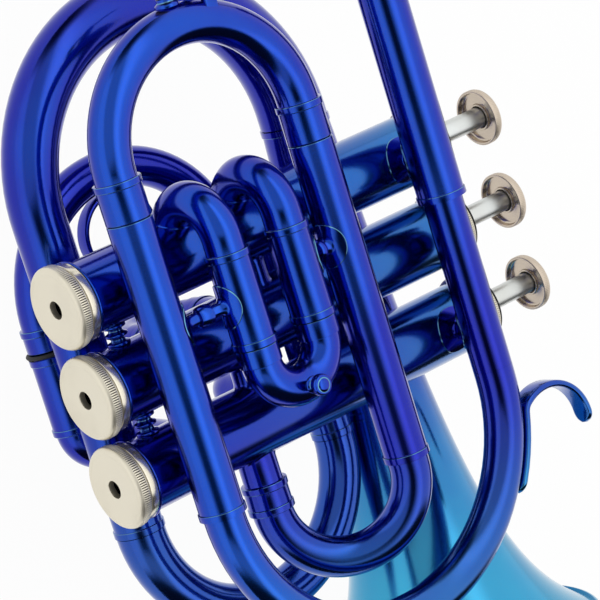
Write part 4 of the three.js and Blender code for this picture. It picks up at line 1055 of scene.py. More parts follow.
class TRUMPET_OT_casings(Operator):
    """Turns the three valve casings, with their knuckles and balusters"""

    bl_idname = "trumpet.casings"
    bl_label = "Valve casings"

    def execute(self, context):
        sizes, slides = groups("valves", "slides")
        outline = walled(
            sizes.casing_bore,
            sizes.casing_foot,
            (sizes.ring_low, sizes.thread_radius),
            (sizes.ring_high, sizes.ring_radius),
            (sizes.shoulder_high, sizes.casing_radius),
            (sizes.casing_top, sizes.thread_radius),
        )
        for number in VALVES:
            soft = eased(outline, detail().turned_ease, looped=True)
            skin = Skin().turned(soft, X * valve_x(number), looped=True)
            if number == 2:
                for other, height in ((1, sizes.link_high), (3, sizes.link_low)):
                    self.knuckle(skin, sizes, slides.bow_radius, other, height)
                    self.baluster(skin, sizes, other)
            skin.thinned("casing", Y).finish(f"valve_casing_{number}", "turned", name=f"casing_{number}")
        return {"FINISHED"}

    @staticmethod
    def knuckle(skin, sizes, radius, other, height):
        """Two half knuckles that meet in the middle and flare onto both casings."""
        way = X * (other - 2)
        middle = way * (sizes.spacing / 2) + Y * height
        reach = sizes.spacing / 2 - sizes.casing_radius
        for number, heading in ((2, -way), (other, way)):
            route = Route(middle, heading, Y).run(reach)
            skin.tube(route, stepped((reach, radius)), wall=casing_wall(number), fit=reach)

    @staticmethod
    def baluster(skin, sizes, other):
        way = X * (other - 2)
        foot = way * (sizes.casing_radius - sizes.solder_sink) + Y * sizes.baluster_height
        span = sizes.spacing - 2 * (sizes.casing_radius - sizes.solder_sink)
        rise = sizes.baluster_radius - sizes.baluster_neck
        outline = [(sizes.baluster_neck + rise * out, span * along) for along, out in BALUSTER_SHARES]
        soft = eased([(0, 0), *outline, (0, span)], sizes.solder_sink)
        skin.turned(soft, foot, way, Y, detail().small_sides)


class TRUMPET_OT_bottom_caps(Operator):
    """Turns and knurls the three bottom caps"""

    bl_idname = "trumpet.bottom_caps"
    bl_label = "Bottom caps"

    def execute(self, context):
        sizes = group("caps")
        bore = group("valves").thread_radius + sizes.skirt_gap
        reach = sizes.lip_radius - sizes.face_radius
        turn_in = quarter(detail().end_steps)
        lip = [(sizes.face_radius + reach * out, sizes.lip_height * (1 - up)) for out, up in turn_in]
        outline = [
            (sizes.hole_radius, sizes.face_step),
            (sizes.face_radius - sizes.face_step * 2, sizes.face_step),
            *lip,
            (sizes.lip_radius, sizes.knurl_end),
            (sizes.groove_radius, sizes.knurl_end),
            (sizes.groove_radius, sizes.groove_end),
            (sizes.collar_radius, sizes.groove_end),
            (sizes.collar_radius, sizes.collar_end),
            (bore, sizes.collar_end),
            (bore, sizes.floor),
            (sizes.hole_radius, sizes.floor),
        ]
        polished = sizes.groove_end - detail().tube_ease
        soft = [
            (r, h, -1 if h > polished and r > sizes.groove_radius else 0)
            for r, h, _ in eased(outline, detail().tube_ease, looped=True)
        ]
        # The last number sets how dark the dips between teeth are painted, as dirt and painted shade
        limits = (sizes.knurl_start, sizes.knurl_end, sizes.collar_radius, 1)
        teeth = (sizes.knurl_teeth, sizes.knurl_depth, *limits)
        for number in VALVES:
            name = f"bottom_cap_{number}"
            skin = Skin().turned(soft, X * valve_x(number), looped=True, teeth=teeth)
            skin.finish(name, "knurled", name, "nickel_plate")
        return {"FINISHED"}


class TRUMPET_OT_top_caps(Operator):
    """Turns the three top caps and cuts their felts"""

    bl_idname = "trumpet.top_caps"
    bl_label = "Top caps and felts"

    def execute(self, context):
        sizes, buttons, valves = groups("caps", "buttons", "valves")
        bore = valves.thread_radius + sizes.skirt_gap
        top = sizes.top_foot + sizes.top_height
        hole = buttons.stem_radius + buttons.fit
        shoulder = top - sizes.top_shoulder
        half_skirt = (sizes.top_foot + shoulder) / 2
        cap = [
            (bore, sizes.top_foot),
            (sizes.top_radius, sizes.top_foot),
            (sizes.top_radius, half_skirt),
            (sizes.top_radius, shoulder),
            (sizes.top_neck, top),
            (hole, top),
            (hole, top - sizes.top_roof),
            (bore, top - sizes.top_roof - sizes.top_shoulder / 2),
        ]
        cap = unmarked(eased(cap, detail().turned_ease, looped=True))
        teeth = (sizes.knurl_teeth, sizes.knurl_depth / 2, half_skirt, shoulder, sizes.felt_radius, 1)
        felt = walled(hole, top, (top + sizes.felt_height, sizes.felt_radius))
        felt = unmarked(eased(felt, sizes.felt_ease, looped=True))
        for number in VALVES:
            foot = X * valve_x(number)
            name = f"top_cap_{number}"
            skin = Skin().turned(cap, foot, looped=True, teeth=teeth)
            skin.finish(name, "turned", name, "nickel_plate")
            skin = Skin().turned(felt, foot, looped=True)
            skin.finish(f"stem_felt_{number}", "cut", name, "black_felt")
        return {"FINISHED"}


class TRUMPET_OT_buttons(Operator):
    """Turns the stems and finger buttons, winds the valve springs and finishes the pistons"""

    bl_idname = "trumpet.buttons"
    bl_label = "Stems, buttons and springs"

    def execute(self, context):
        sizes, caps = groups("buttons", "caps")
        foot = caps.top_foot + caps.top_height + caps.felt_height + sizes.rise
        edge = foot + sizes.height
        roof = edge - sizes.floor
        stem_top = edge - 2 * sizes.fit
        button, teeth = self.button(sizes, foot, edge, roof, stem_top)
        stem = unmarked(eased(walled(0, sizes.stem_foot, (stem_top, sizes.stem_radius)), detail().turned_ease))
        for number in VALVES:
            at = X * valve_x(number)
            body = f"valve_{number}"
            node = f"finger_button_{number}"
            Skin().turned(button, at, teeth=teeth).finish(node, "turned", body, "nickel_plate")
            node = f"valve_stem_{number}"
            skin = Skin().turned(stem, at, sides=detail().tube_sides)
            skin.finish(node, "turned", body, "bright_steel")
            self.spring(sizes, number)
            self.dress(f"piston_{number}", "bright_steel")
            self.dress(f"valve_guide_{number}", "white_nylon")
        return {"FINISHED"}

    @staticmethod
    def button(sizes, foot, edge, roof, stem_top):
        """A shallow cup with a hub below and an inlay on top. Its hollow is polished, its side knurled."""
        top = edge + sizes.inlay_height
        hole = sizes.stem_radius + sizes.fit
        inner = sizes.radius - sizes.wall
        rim = quarter(detail().rim_steps)
        outline = [
            (0, stem_top + sizes.fit),
            (hole, stem_top + sizes.fit),
            (hole, roof - sizes.hub_height),
            (sizes.hub_radius, roof - sizes.hub_height),
            (sizes.hub_radius, roof),
            (inner - sizes.wall / 2, roof),
            (inner, roof - sizes.wall / 2),
            (inner, foot),
            (sizes.radius, foot),
            *((sizes.radius - sizes.rim * (1 - c), edge - sizes.rim * (1 - s)) for s, c in rim),
            (sizes.inlay_radius, edge),
            (sizes.inlay_radius, top),
            (0, top),
        ]
        middle = inner + sizes.wall / 2
        soft = [
            (r, h, -1 if r < middle and h < roof + sizes.fit else 0)
            for r, h, _ in eased(outline, detail().tube_ease)
        ]
        # The last number paints the button's dips a little darker, as dirt and painted shade
        limits = (foot + sizes.wall / 2, edge - sizes.wall, middle, sizes.fit / sizes.wall)
        return soft, (sizes.knurl_teeth, sizes.knurl_depth, *limits)

    @staticmethod
    def spring(sizes, number):
        turns, wire = sizes.spring_turns, sizes.spring_wire / 2
        span = sizes.spring_top - sizes.spring_foot - 2 * wire

        def rise(along):
            climb = min(max((along * turns - 1) / (turns - 2), 0), 1)
            lift = wire * 2 * min(along * turns, 1) * (1 - climb) * 0.9
            return Y * (sizes.spring_foot + wire + span * climb + lift)

        points = coil(X * valve_x(number), X, Z, sizes.spring_radius - wire, turns, rise)
        node = f"valve_spring_{number}"
        piece = Skin().wire(points, wire).finish(node, "wound", slot="spring_steel")
        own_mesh(piece)

    @staticmethod
    def dress(node, slot):
        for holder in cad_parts[node].material_slots:
            holder.material = finish_of(slot)


class TRUMPET_OT_main_tubes(Operator):
    """Draws the main sleeves, leadpipe, leadpipe bow and mouthpiece receiver"""

    bl_idname = "trumpet.main_tubes"
    bl_label = "Sleeves and leadpipe"

    def execute(self, context):
        sizes = group("tubes")
        raised = sizes.sleeve_radius + sizes.bead_rise
        for node, height, front in (
            ("main_slide_lower_sleeve", sizes.low, sizes.low_front),
            ("main_slide_upper_sleeve", sizes.high, sizes.high_front),
        ):
            length = front - sizes.rear
            body = stepped((length - sizes.bead_width, sizes.sleeve_radius), (length, raised))
            mouth = (0, sizes.sleeve_radius - sizes.bead_rise)
            self.straight(node, sizes.rear, height, length, [mouth, *body], sizes.sleeve_bore)
        half = (sizes.leadpipe_height - sizes.low) / 2
        route = Route((sizes.low_front + sizes.gap, sizes.low, sizes.plane), X, Y)
        route.bend(half, Y, HALF_TURN).run(sizes.leadpipe_bow_front)
        outer, inner = (stepped((route.length, r)) for r in (sizes.leadpipe_radius, sizes.bore))
        Skin().tube(route, outer, inner).thinned("bow").finish("leadpipe_bow", "bent")
        start = sizes.receiver_front - sizes.leadpipe_insert
        length = sizes.low_front + sizes.gap - sizes.leadpipe_bow_front - sizes.hairline - start
        outer = stepped((length, sizes.leadpipe_radius))
        self.straight("leadpipe", start, sizes.leadpipe_height, length, outer, sizes.leadpipe_bore)
        start = sizes.receiver_rear
        length = sizes.receiver_front - start
        outer = stepped(
            (sizes.receiver_ring_length, sizes.receiver_ring),
            (length - sizes.bead_width, sizes.receiver_radius),
            (length, sizes.receiver_radius + sizes.bead_rise),
        )
        node = "mouthpiece_receiver"
        self.straight(node, start, sizes.leadpipe_height, length, outer, sizes.receiver_bore)
        return {"FINISHED"}

    @staticmethod
    def straight(node, rear, height, length, outer, bore):
        route = Route((rear, height, group("tubes").plane), X, Y).run(length)
        Skin().tube(route, outer, stepped((length, bore))).finish(node, "drawn")


def slide_bow(sizes, foot, heading, rise, leg, ferrule, bead=(0, 0)):
    """The bent bow of a slide, with its ferrules and inner tubes."""
    route = Route(foot, heading, Y).run(leg + ferrule)
    route.bend(rise.length / 2, rise, HALF_TURN).run(ferrule + leg)
    one_side = stepped(
        (leg, sizes.leg_radius),
        (leg + ferrule - bead[0], sizes.sleeve_radius),
        (leg + ferrule, sizes.sleeve_radius + bead[1]),
    )
    one_side.append((leg + ferrule, sizes.bow_radius))
    outer = one_side + [(route.length - at, radius) for at, radius in reversed(one_side)]
    return Skin().tube(route, outer, stepped((route.length, sizes.bore)))


def key_place():
    """The crown of the main slide's bow, and the pivot of the water key on it."""
    tubes, key = groups("tubes", "braces")
    half = (tubes.high - tubes.low) / 2
    rear = tubes.rear - tubes.gap - tubes.ferrule - half - tubes.bow_radius
    crown = Vector((rear, tubes.low + half, tubes.plane))
    return crown, crown + Vector((2 * key.pin_radius - key.post_height, key.key_arm, 0))


class TRUMPET_OT_main_slide(Operator):
    """Bends the main tuning slide, with the nipple and posts of its water key"""

    bl_idname = "trumpet.main_slide"
    bl_label = "Main tuning slide"

    def execute(self, context):
        sizes, braces = groups("tubes", "braces")
        foot = Vector((sizes.rear - sizes.gap + sizes.leg, sizes.low, sizes.plane))
        rise = Y * (sizes.high - sizes.low)
        bead = (sizes.bead_width, sizes.bead_rise)
        skin = slide_bow(sizes, foot, -X, rise, sizes.leg, sizes.ferrule, bead)
        crown, pivot = key_place()
        self.nipple(skin, sizes, braces, crown)
        self.posts(skin, sizes, braces, crown, pivot, rise.length / 2)
        skin.finish("main_tuning_slide", "bent", "main_slide")
        return {"FINISHED"}

    @staticmethod
    def nipple(skin, sizes, braces, crown):
        wide = braces.nipple_radius * 1.35
        outline = [
            (braces.nipple_bore, -braces.nipple_height / 4),
            (wide, -braces.nipple_height / 4),
            (wide, braces.nipple_height / 5),
            (braces.nipple_radius, braces.nipple_height / 2),
            (braces.nipple_radius, braces.nipple_height),
            (braces.nipple_bore, braces.nipple_height),
        ]
        soft = eased(outline, detail().turned_ease, looped=True)
        skin.turned(soft, crown, -X, Y, detail().small_sides, looped=True)

    @staticmethod
    def posts(skin, sizes, braces, crown, pivot, half):
        foot = crown.x + sizes.bow_radius + half - sqrt(half**2 - braces.key_arm**2)
        offset = braces.key_width / 2 + sizes.gap + braces.post_width / 2
        for plane in (sizes.plane - offset, sizes.plane + offset):
            post = Route((foot, pivot.y, plane), -X, Y).run(foot - crown.x + braces.post_height)
            width = braces.post_width
            skin.slab(post, width * 2, width, detail().turned_ease, round_start=False)
        reach = braces.key_width / 2 + braces.post_width
        pin = eased(walled(0, -reach, (reach, braces.pin_radius)), detail().tube_ease)
        skin.turned(pin, pivot, Z, X, detail().small_sides)


class TRUMPET_OT_water_key(Operator):
    """Forms the water key's lever, cork and spring"""

    bl_idname = "trumpet.water_key"
    bl_label = "Water key"

    def execute(self, context):
        gap, key = group("tubes").gap, group("braces")
        crown, pivot = key_place()
        small = detail().small_sides
        nipple_top = crown - X * key.nipple_height
        self.lever(gap, key, nipple_top, pivot, small)
        cork = unmarked(eased(walled(0, 0, (key.pad_height, key.pad_radius)), detail().turned_ease))
        skin = Skin().turned(cork, nipple_top - X * gap, -X, Y, small)
        skin.finish("water_key_cork", "cut", "water_key", "cork")
        wire = key.key_spring_wire / 2
        span = key.key_spring_width - 2 * wire
        radius = key.key_spring_radius - wire
        points = coil(pivot, X, Y, radius, key.key_spring_turns, lambda along: Z * span * (along - 0.5))
        skin = Skin().wire(points, wire)
        skin.finish("water_key_spring", "wound", "main_slide", "spring_steel")
        return {"FINISHED"}

    @staticmethod
    def lever(gap, key, nipple_top, pivot, small):
        back = key.pad_height + 2 * gap + key.key_thickness / 2
        start = nipple_top - X * back - Y * key.pad_radius
        route = Route(start, Y, Z).run(key.key_arm + key.key_touch + key.pad_radius)
        skin = Skin().slab(route, key.key_width, key.key_thickness, detail().turned_ease)
        room = key.key_spring_width / 2 + gap
        outer = key.pin_radius + key.key_thickness
        barrel = walled(key.pin_radius + key.key_fit, room, (key.key_width / 2, outer))
        soft = eased(barrel, detail().tube_ease, looped=True)
        for axis in (-Z, Z):
            skin.turned(soft, pivot, axis, X, small, looped=True)
        skin.finish("water_key_lever", "formed", "water_key")


class TRUMPET_OT_mouthpiece(Operator):
    """Turns the mouthpiece"""

    bl_idname = "trumpet.mouthpiece"
    bl_label = "Mouthpiece"

    def execute(self, context):
        sizes, tubes = groups("mouthpiece", "tubes")
        rear = tubes.receiver_rear + sizes.insert - sizes.length
        foot = Vector((rear, tubes.leadpipe_height, tubes.plane))
        body = sizes.body_length
        outline = [
            (sizes.cup_radius, sizes.rim_dip),
            (sizes.cup_radius + (sizes.rim_radius - sizes.cup_radius) * 0.35, 0),
            (sizes.rim_radius - sizes.rim_ease, sizes.rim_dome),
            (sizes.rim_radius, sizes.rim_ease),
            (sizes.rim_radius, sizes.rim_length * 0.72),
            (sizes.cup_outer, sizes.rim_length),
            (sizes.cup_outer, sizes.cup_depth * 0.75),
            (sizes.cup_outer * 0.93, sizes.cup_depth),
            (sizes.cup_outer * 0.7, body * 0.75),
            (sizes.neck_radius * 1.05, body),
            (sizes.neck_radius * 1.2, body + sizes.ring_start),
            (sizes.neck_radius * 0.9, body + sizes.ring_end),
            (sizes.neck_radius * 0.82, body + sizes.neck_length),
            (sizes.shank_mouth, sizes.length - sizes.insert),
            (sizes.shank_end, sizes.length),
            (sizes.backbore, sizes.length),
            (sizes.throat, sizes.cup_depth + sizes.throat * 3),
            (sizes.throat, sizes.cup_depth),
            (sizes.cup_radius * 0.55, sizes.cup_depth * 0.78),
            (sizes.cup_radius * 0.85, sizes.cup_depth * 0.4),
        ]
        skin = Skin().turned(unmarked(eased(outline, sizes.rim_ease, looped=True)), foot, X, Y, looped=True)
        skin.finish("mouthpiece", "turned", "mouthpiece", "silver_plate")
        return {"FINISHED"}


class TRUMPET_OT_front_crook(Operator):
    """Bends the front crook into the third valve"""

    bl_idname = "trumpet.front_crook"
    bl_label = "Front crook"

    def execute(self, context):
        sizes, slides, valves = groups("tubes", "slides", "valves")
        foot = Vector((sizes.high_front + sizes.gap, sizes.high, sizes.plane))
        drop = Vector((0, sizes.stub_height - sizes.high, -sizes.plane))
        route = Route(foot, X, drop).run(sizes.stub_front - foot.x)
        route.bend(drop.length / 2, drop, HALF_TURN)
        ferrule = route.length
        end = ferrule + sizes.stub_ferrule
        route.run(sizes.stub_front - valves.spacing - valves.casing_radius + valves.solder_sink)
        raised = sizes.sleeve_radius + sizes.bead_rise
        outer = stepped(
            (ferrule, sizes.bow_radius),
            (ferrule + sizes.bead_width, raised),
            (end - sizes.bead_width, sizes.sleeve_radius),
            (end, raised),
            (route.length, slides.bow_radius),
        )
        skin = Skin().tube(route, outer, stepped((route.length, slides.bore)), wall=casing_wall(3))
        skin.thinned("bow").finish("front_crook", "bent")
        return {"FINISHED"}


def slide_sleeve(sizes, route, length, number, node):
    """A slide's sleeve with its beads, which narrows to the tube that is soldered to a casing."""
    tubes = group("tubes")
    raised = sizes.sleeve_radius + tubes.bead_rise
    outer = stepped(
        (tubes.bead_width, raised),
        (length - tubes.bead_width, sizes.sleeve_radius),
        (length, raised),
        (route.length, sizes.bow_radius),
    )
    inner = stepped((length, sizes.sleeve_bore), (route.length, sizes.bore))
    Skin().tube(route, outer, inner, wall=casing_wall(number)).finish(node, "drawn")


class TRUMPET_OT_first_slide(Operator):
    """Bends the first valve slide, its sleeves and its pull knob"""

    bl_idname = "trumpet.first_slide"
    bl_label = "First valve slide"

    def execute(self, context):
        sizes = group("slides")
        length = sizes.first_front - sizes.first_rear
        for node, height in (
            ("first_slide_lower_sleeve", sizes.first_low),
            ("first_slide_upper_sleeve", sizes.first_high),
        ):
            route = Route((sizes.first_front, height, sizes.first_plane), -X, Y).run(length)
            route.run(sizes.first_rear - sizes.first_knuckle)
            route.bend(sizes.first_plane / 2, -Z, sizes.knuckle_turn)
            slide_sleeve(sizes, route, length, 1, node)
        start = sizes.first_front + group("tubes").gap
        rise = Y * (sizes.first_high - sizes.first_low)
        foot = Vector((start - sizes.first_leg, sizes.first_low, sizes.first_plane))
        skin = slide_bow(sizes, foot, X, rise, sizes.first_leg, sizes.first_ferrule)
        skin.finish("first_slide_crook", "bent", "first_slide")
        self.knob(sizes, group("tubes").gap, start + sizes.first_ferrule + rise.length / 2)
        return {"FINISHED"}

    @staticmethod
    def knob(sizes, gap, crown):
        height = (sizes.first_high + sizes.first_low) / 2
        foot = Vector((crown, height, sizes.first_plane + sizes.bow_radius - gap))
        low = sizes.knob_neck_height + 2 * gap
        neck, wide = sizes.knob_neck, sizes.knob_radius
        outline = [(0, 0), (neck * 1.5, 0), (neck * 1.4, gap * 1.5), (neck, gap * 3), (neck, low)]
        outline += [(wide * out, low + sizes.knob_height * up) for out, up in KNOB_SHARES]
        skin = Skin().turned(eased(outline, detail().turned_ease), foot, Z, X, detail().tube_sides)
        skin.finish("first_slide_pull_knob", "turned", "first_slide", name="first_slide_knob")


class TRUMPET_OT_second_slide(Operator):
    """Bends the second valve slide and its sleeves"""

    bl_idname = "trumpet.second_slide"
    bl_label = "Second valve slide"

    def execute(self, context):
        sizes, tubes, valves = groups("slides", "tubes", "valves")
        length = -sizes.second_outer - valves.casing_radius + valves.solder_sink
        raised = sizes.sleeve_radius + tubes.bead_rise
        outer = stepped((tubes.bead_width, raised), (length, sizes.sleeve_radius))
        inner = stepped((length, sizes.sleeve_bore))
        for node, height in (
            ("second_slide_lower_sleeve", sizes.second_low),
            ("second_slide_upper_sleeve", sizes.second_high),
        ):
            route = Route((0, height, sizes.second_outer), Z, Y).run(length)
            Skin().tube(route, outer, inner, wall=casing_wall(2)).finish(node, "drawn")
        foot = Vector((0, sizes.second_low, sizes.second_outer - tubes.gap + sizes.second_leg))
        rise = Y * (sizes.second_high - sizes.second_low)
        skin = slide_bow(sizes, foot, -Z, rise, sizes.second_leg, sizes.second_ferrule)
        skin.finish("second_slide_crook", "bent", "second_slide")
        return {"FINISHED"}


class TRUMPET_OT_third_slide(Operator):
    """Bends the third valve slide and its sleeves, with the rubber ring and the finger ring"""

    bl_idname = "trumpet.third_slide"
    bl_label = "Third valve slide"

    def execute(self, context):
        sizes, tubes, valves = groups("slides", "tubes", "valves")
        length = sizes.third_front - sizes.third_rear
        corner = sizes.third_front + sizes.third_elbow
        inward = Vector((valves.spacing - corner, 0, -sizes.third_plane))
        for node, height, toward in (
            ("third_slide_lower_sleeve", sizes.third_low, Y),
            ("third_slide_upper_sleeve", sizes.third_high, -Y),
        ):
            route = Route((sizes.third_rear, height, sizes.third_plane), X, Y).run(length)
            route.bend(sizes.third_elbow, toward, QUARTER_TURN)
            route.bend(sizes.third_inlet, inward, QUARTER_TURN)
            route.run(inward.length - sizes.third_inlet - valves.casing_radius + valves.solder_sink)
            slide_sleeve(sizes, route, length, 3, node)
        front = sizes.third_ferrule_rear + sizes.third_ferrule
        foot = Vector((front + sizes.third_leg, sizes.third_low, sizes.third_plane))
        rise = Y * (sizes.third_high - sizes.third_low)
        bead = (tubes.bead_width, tubes.bead_rise)
        skin = slide_bow(sizes, foot, -X, rise, sizes.third_leg, sizes.third_ferrule, bead)
        skin.finish("third_slide_crook", "bent", "third_slide")
        self.bumper(sizes, tubes.gap, front)
        self.finger_ring(sizes, tubes.gap, rise.length / 2)
        return {"FINISHED"}

    @staticmethod
    def bumper(sizes, gap, front):
        half = sizes.oring_wire / 2
        foot = Vector(((front + sizes.third_rear) / 2, sizes.third_low, sizes.third_plane))
        centre = X * (sizes.leg_radius + gap / 2 + half)
        outline = [(point.x, point.y) for point in round_points(centre, X, Y, half, detail().bumper_sides)]
        skin = Skin().turned(outline, foot, X, Y, detail().tube_sides, looped=True)
        skin.finish("third_slide_o_ring", "moulded", "third_slide", "black_rubber", "third_slide_bumper")

    @staticmethod
    def finger_ring(sizes, gap, half_span):
        rear = sizes.third_ferrule_rear - half_span + sizes.bow_radius
        centre = Vector((rear + gap + sizes.ring_radius, sizes.third_low + half_span, sizes.third_plane))
        half = sizes.ring_width / 2
        ring = walled(sizes.ring_radius - sizes.ring_wall, -half, (half, sizes.ring_radius))
        soft = unmarked(eased(ring, sizes.ring_wall / EDGE_PARTS, looped=True))
        skin = Skin().turned(soft, centre, Z, X, looped=True)
        seat = centre - X * (sizes.ring_radius + gap * 2)
        skin.turned(walled(0, 0, (gap * 4, sizes.ring_wall)), seat, X, Y, detail().small_sides)
        skin.finish("third_slide_finger_ring", "turned", "third_slide", name="third_slide_ring")


class TRUMPET_OT_branches(Operator):
    """Bends the bell's branches and bows"""

    bl_idname = "trumpet.branches"
    bl_label = "Bell branches and bows"

    def execute(self, context):
        sizes, tubes = groups("bell", "tubes")
        high = Vector((sizes.front_start, sizes.branch_height, sizes.branch_plane))
        low = Vector((sizes.front_start, sizes.lower_height, sizes.lower_plane))
        self.upper(sizes, tubes, high - X * tubes.gap)
        route = Route(high, X, low - high).bend((low - high).length / 2, low - high, HALF_TURN)
        outer = [(0, sizes.branch_radius), (route.length, sizes.lower_front)]
        skin = Skin().tube(route, outer, self.hollow(sizes, outer))
        skin.thinned("branch").finish("bell_front_bow", "bent")
        self.lower(sizes, tubes, low - X * tubes.gap)
        self.rear(sizes, tubes)
        return {"FINISHED"}

    @staticmethod
    def hollow(sizes, outer):
        return [(at, radius - sizes.wall) for at, radius in outer]

    @staticmethod
    def upper(sizes, tubes, start):
        valves, slides = groups("valves", "slides")
        elbow = sizes.branch_elbow
        route = Route(start, -X, Y).run(start.x + valves.spacing - elbow)
        route.bend(elbow, -Y, QUARTER_TURN).bend(elbow, Z, QUARTER_TURN)
        route.run(-sizes.branch_plane - elbow - valves.casing_radius + valves.solder_sink)
        raised = sizes.branch_radius + tubes.bead_rise
        outer = stepped((tubes.bead_width, raised), (route.length, sizes.branch_radius))
        skin = Skin().tube(route, outer, stepped((route.length, slides.bore)), wall=casing_wall(1))
        skin.thinned("branch").finish("upper_bell_branch", "bent")

    def lower(self, sizes, tubes, start):
        route = Route(start, -X, Y).run(start.x - tubes.gap - sizes.rear_joint)
        outer = stepped((tubes.bead_width, sizes.lower_front + tubes.bead_rise))
        outer += [(tubes.bead_width, sizes.lower_front), (route.length, sizes.lower_rear)]
        inner = self.hollow(sizes, [(0, sizes.lower_front), (route.length, sizes.lower_rear)])
        skin = Skin().tube(route, outer, inner)
        skin.thinned("branch").finish("lower_bell_branch", "drawn")

    def rear(self, sizes, tubes):
        rise = Vector((0, sizes.bell_height - sizes.lower_height, sizes.bell_plane - sizes.lower_plane))
        route = Route((sizes.rear_joint, sizes.lower_height, sizes.lower_plane), -X, rise)
        start = route.run(sizes.rear_joint - sizes.rear_start).length
        end = route.bend(rise.length / 2, rise, HALF_TURN).length
        route.run(sizes.joint - sizes.rear_start - tubes.gap)
        bend = [(start, sizes.lower_rear), (end, sizes.stem_radius), (route.length, sizes.stem_radius)]
        outer = stepped((tubes.bead_width, sizes.lower_rear + tubes.bead_rise))
        outer += [(tubes.bead_width, sizes.lower_rear), *bend]
        skin = Skin().tube(route, outer, self.hollow(sizes, [(0, sizes.lower_rear), *bend]))
        skin.finish("bell_rear_bow", "bent")


class TRUMPET_OT_bell(Operator):
    """Spins the bell with its rolled rim"""

    bl_idname = "trumpet.bell"
    bl_label = "Bell"

    def execute(self, context):
        sizes, tubes = groups("bell", "tubes")
        reach = sizes.rim - sizes.joint
        span = reach + sizes.flare_range
        lip_radius = sizes.rim_radius - sizes.bead_radius
        power = log(lip_radius / sizes.stem_radius) / log(span / sizes.flare_range)
        curve = []
        for k in range(sizes.flare_rings + 1):
            part = 1 - (1 - k / sizes.flare_rings) ** sizes.flare_crowding
            along = tubes.bead_width + (reach - tubes.bead_width) * part
            curve.append((along, sizes.stem_radius * (span / (span - along)) ** power))
        outer = stepped((tubes.bead_width, sizes.stem_radius + tubes.bead_rise))
        outer = eased([*outer, (tubes.bead_width, sizes.stem_radius)], detail().tube_ease)
        roll = []
        for k in range(1, sizes.roll_steps):
            angle = sizes.roll_turn * (k / sizes.roll_steps - 0.5)
            roll.append((
                reach + sizes.bead_radius * sin(angle),
                lip_radius + sizes.bead_radius * cos(angle),
            ))
        inside = [(along, radius - sizes.bell_wall) for along, radius in reversed(curve)]
        end = (0, sizes.stem_radius - sizes.bell_wall)
        profile = [(radius, along, mark) for along, radius, mark in outer]
        profile += [(radius, along, 0) for along, radius in (*curve[1:-1], *roll, *inside, end)]
        foot = Vector((sizes.joint, sizes.bell_height, sizes.bell_plane))
        skin = Skin().turned(profile, foot, X, Y, detail().bell_sides, looped=True)
        skin.thinned("bell").finish("bell", "spun")
        return {"FINISHED"}


def saddle_rings(skin, sizes, centre, axis, tube_radius, toward):
    """The rings of a brace's round foot, bent onto its tube and rising into the rod."""
    cross = toward.cross(axis)
    around = detail().tube_sides
    wide = sizes.casing_saddle if axis.dot(Y) else sizes.saddle_radius
    rod, thick, fillet = sizes.rod_radius, sizes.saddle_height, sizes.fillet
    shape = [
        (rod * 0.1, -sizes.saddle_sink),
        (wide, -sizes.saddle_sink),
        (wide, thick * 0.6),
        (wide - thick * 0.4, thick),
        (wide - thick * 0.8, thick),
        ((wide + rod) / 2, thick),
    ]
    shape += [(rod + fillet * out, thick + fillet * up) for out, up in FILLET_SHARES]
    rings = []
    for reach, height in shape:
        level = tube_radius + height
        points = []
        for k in range(around):
            angle = 2 * pi * k / around
            lean = reach * sin(angle) / tube_radius
            bent = toward * (level * cos(lean)) + cross * (level * sin(lean))
            points.append(centre + axis * (reach * cos(angle)) + bent)
        # The saddle's rim is marked 1: painted lighter as rubbed edge and painted highlight
        rings.append(skin.ring(points, 1 if height > 0 and reach > wide - thick / 2 else 0))
    return rings


def aligned(skin, ring, like):
    """Turns a ring's order so that it runs beside another ring."""

    def spokes(order):
        points = [skin.points[i] for i in order]
        centre = sum(points, Vector()) / len(points)
        return [point - centre for point in points]

    wanted = spokes(like)
    turns = [ring_order[k:] + ring_order[:k] for ring_order in (ring, ring[::-1]) for k in range(len(ring))]
    quarters = range(0, len(ring), len(ring) // 4)
    spoke_of = dict(zip(ring, spokes(ring)))
    return max(turns, key=lambda order: sum(spoke_of[order[k]].dot(wanted[k]) for k in quarters))


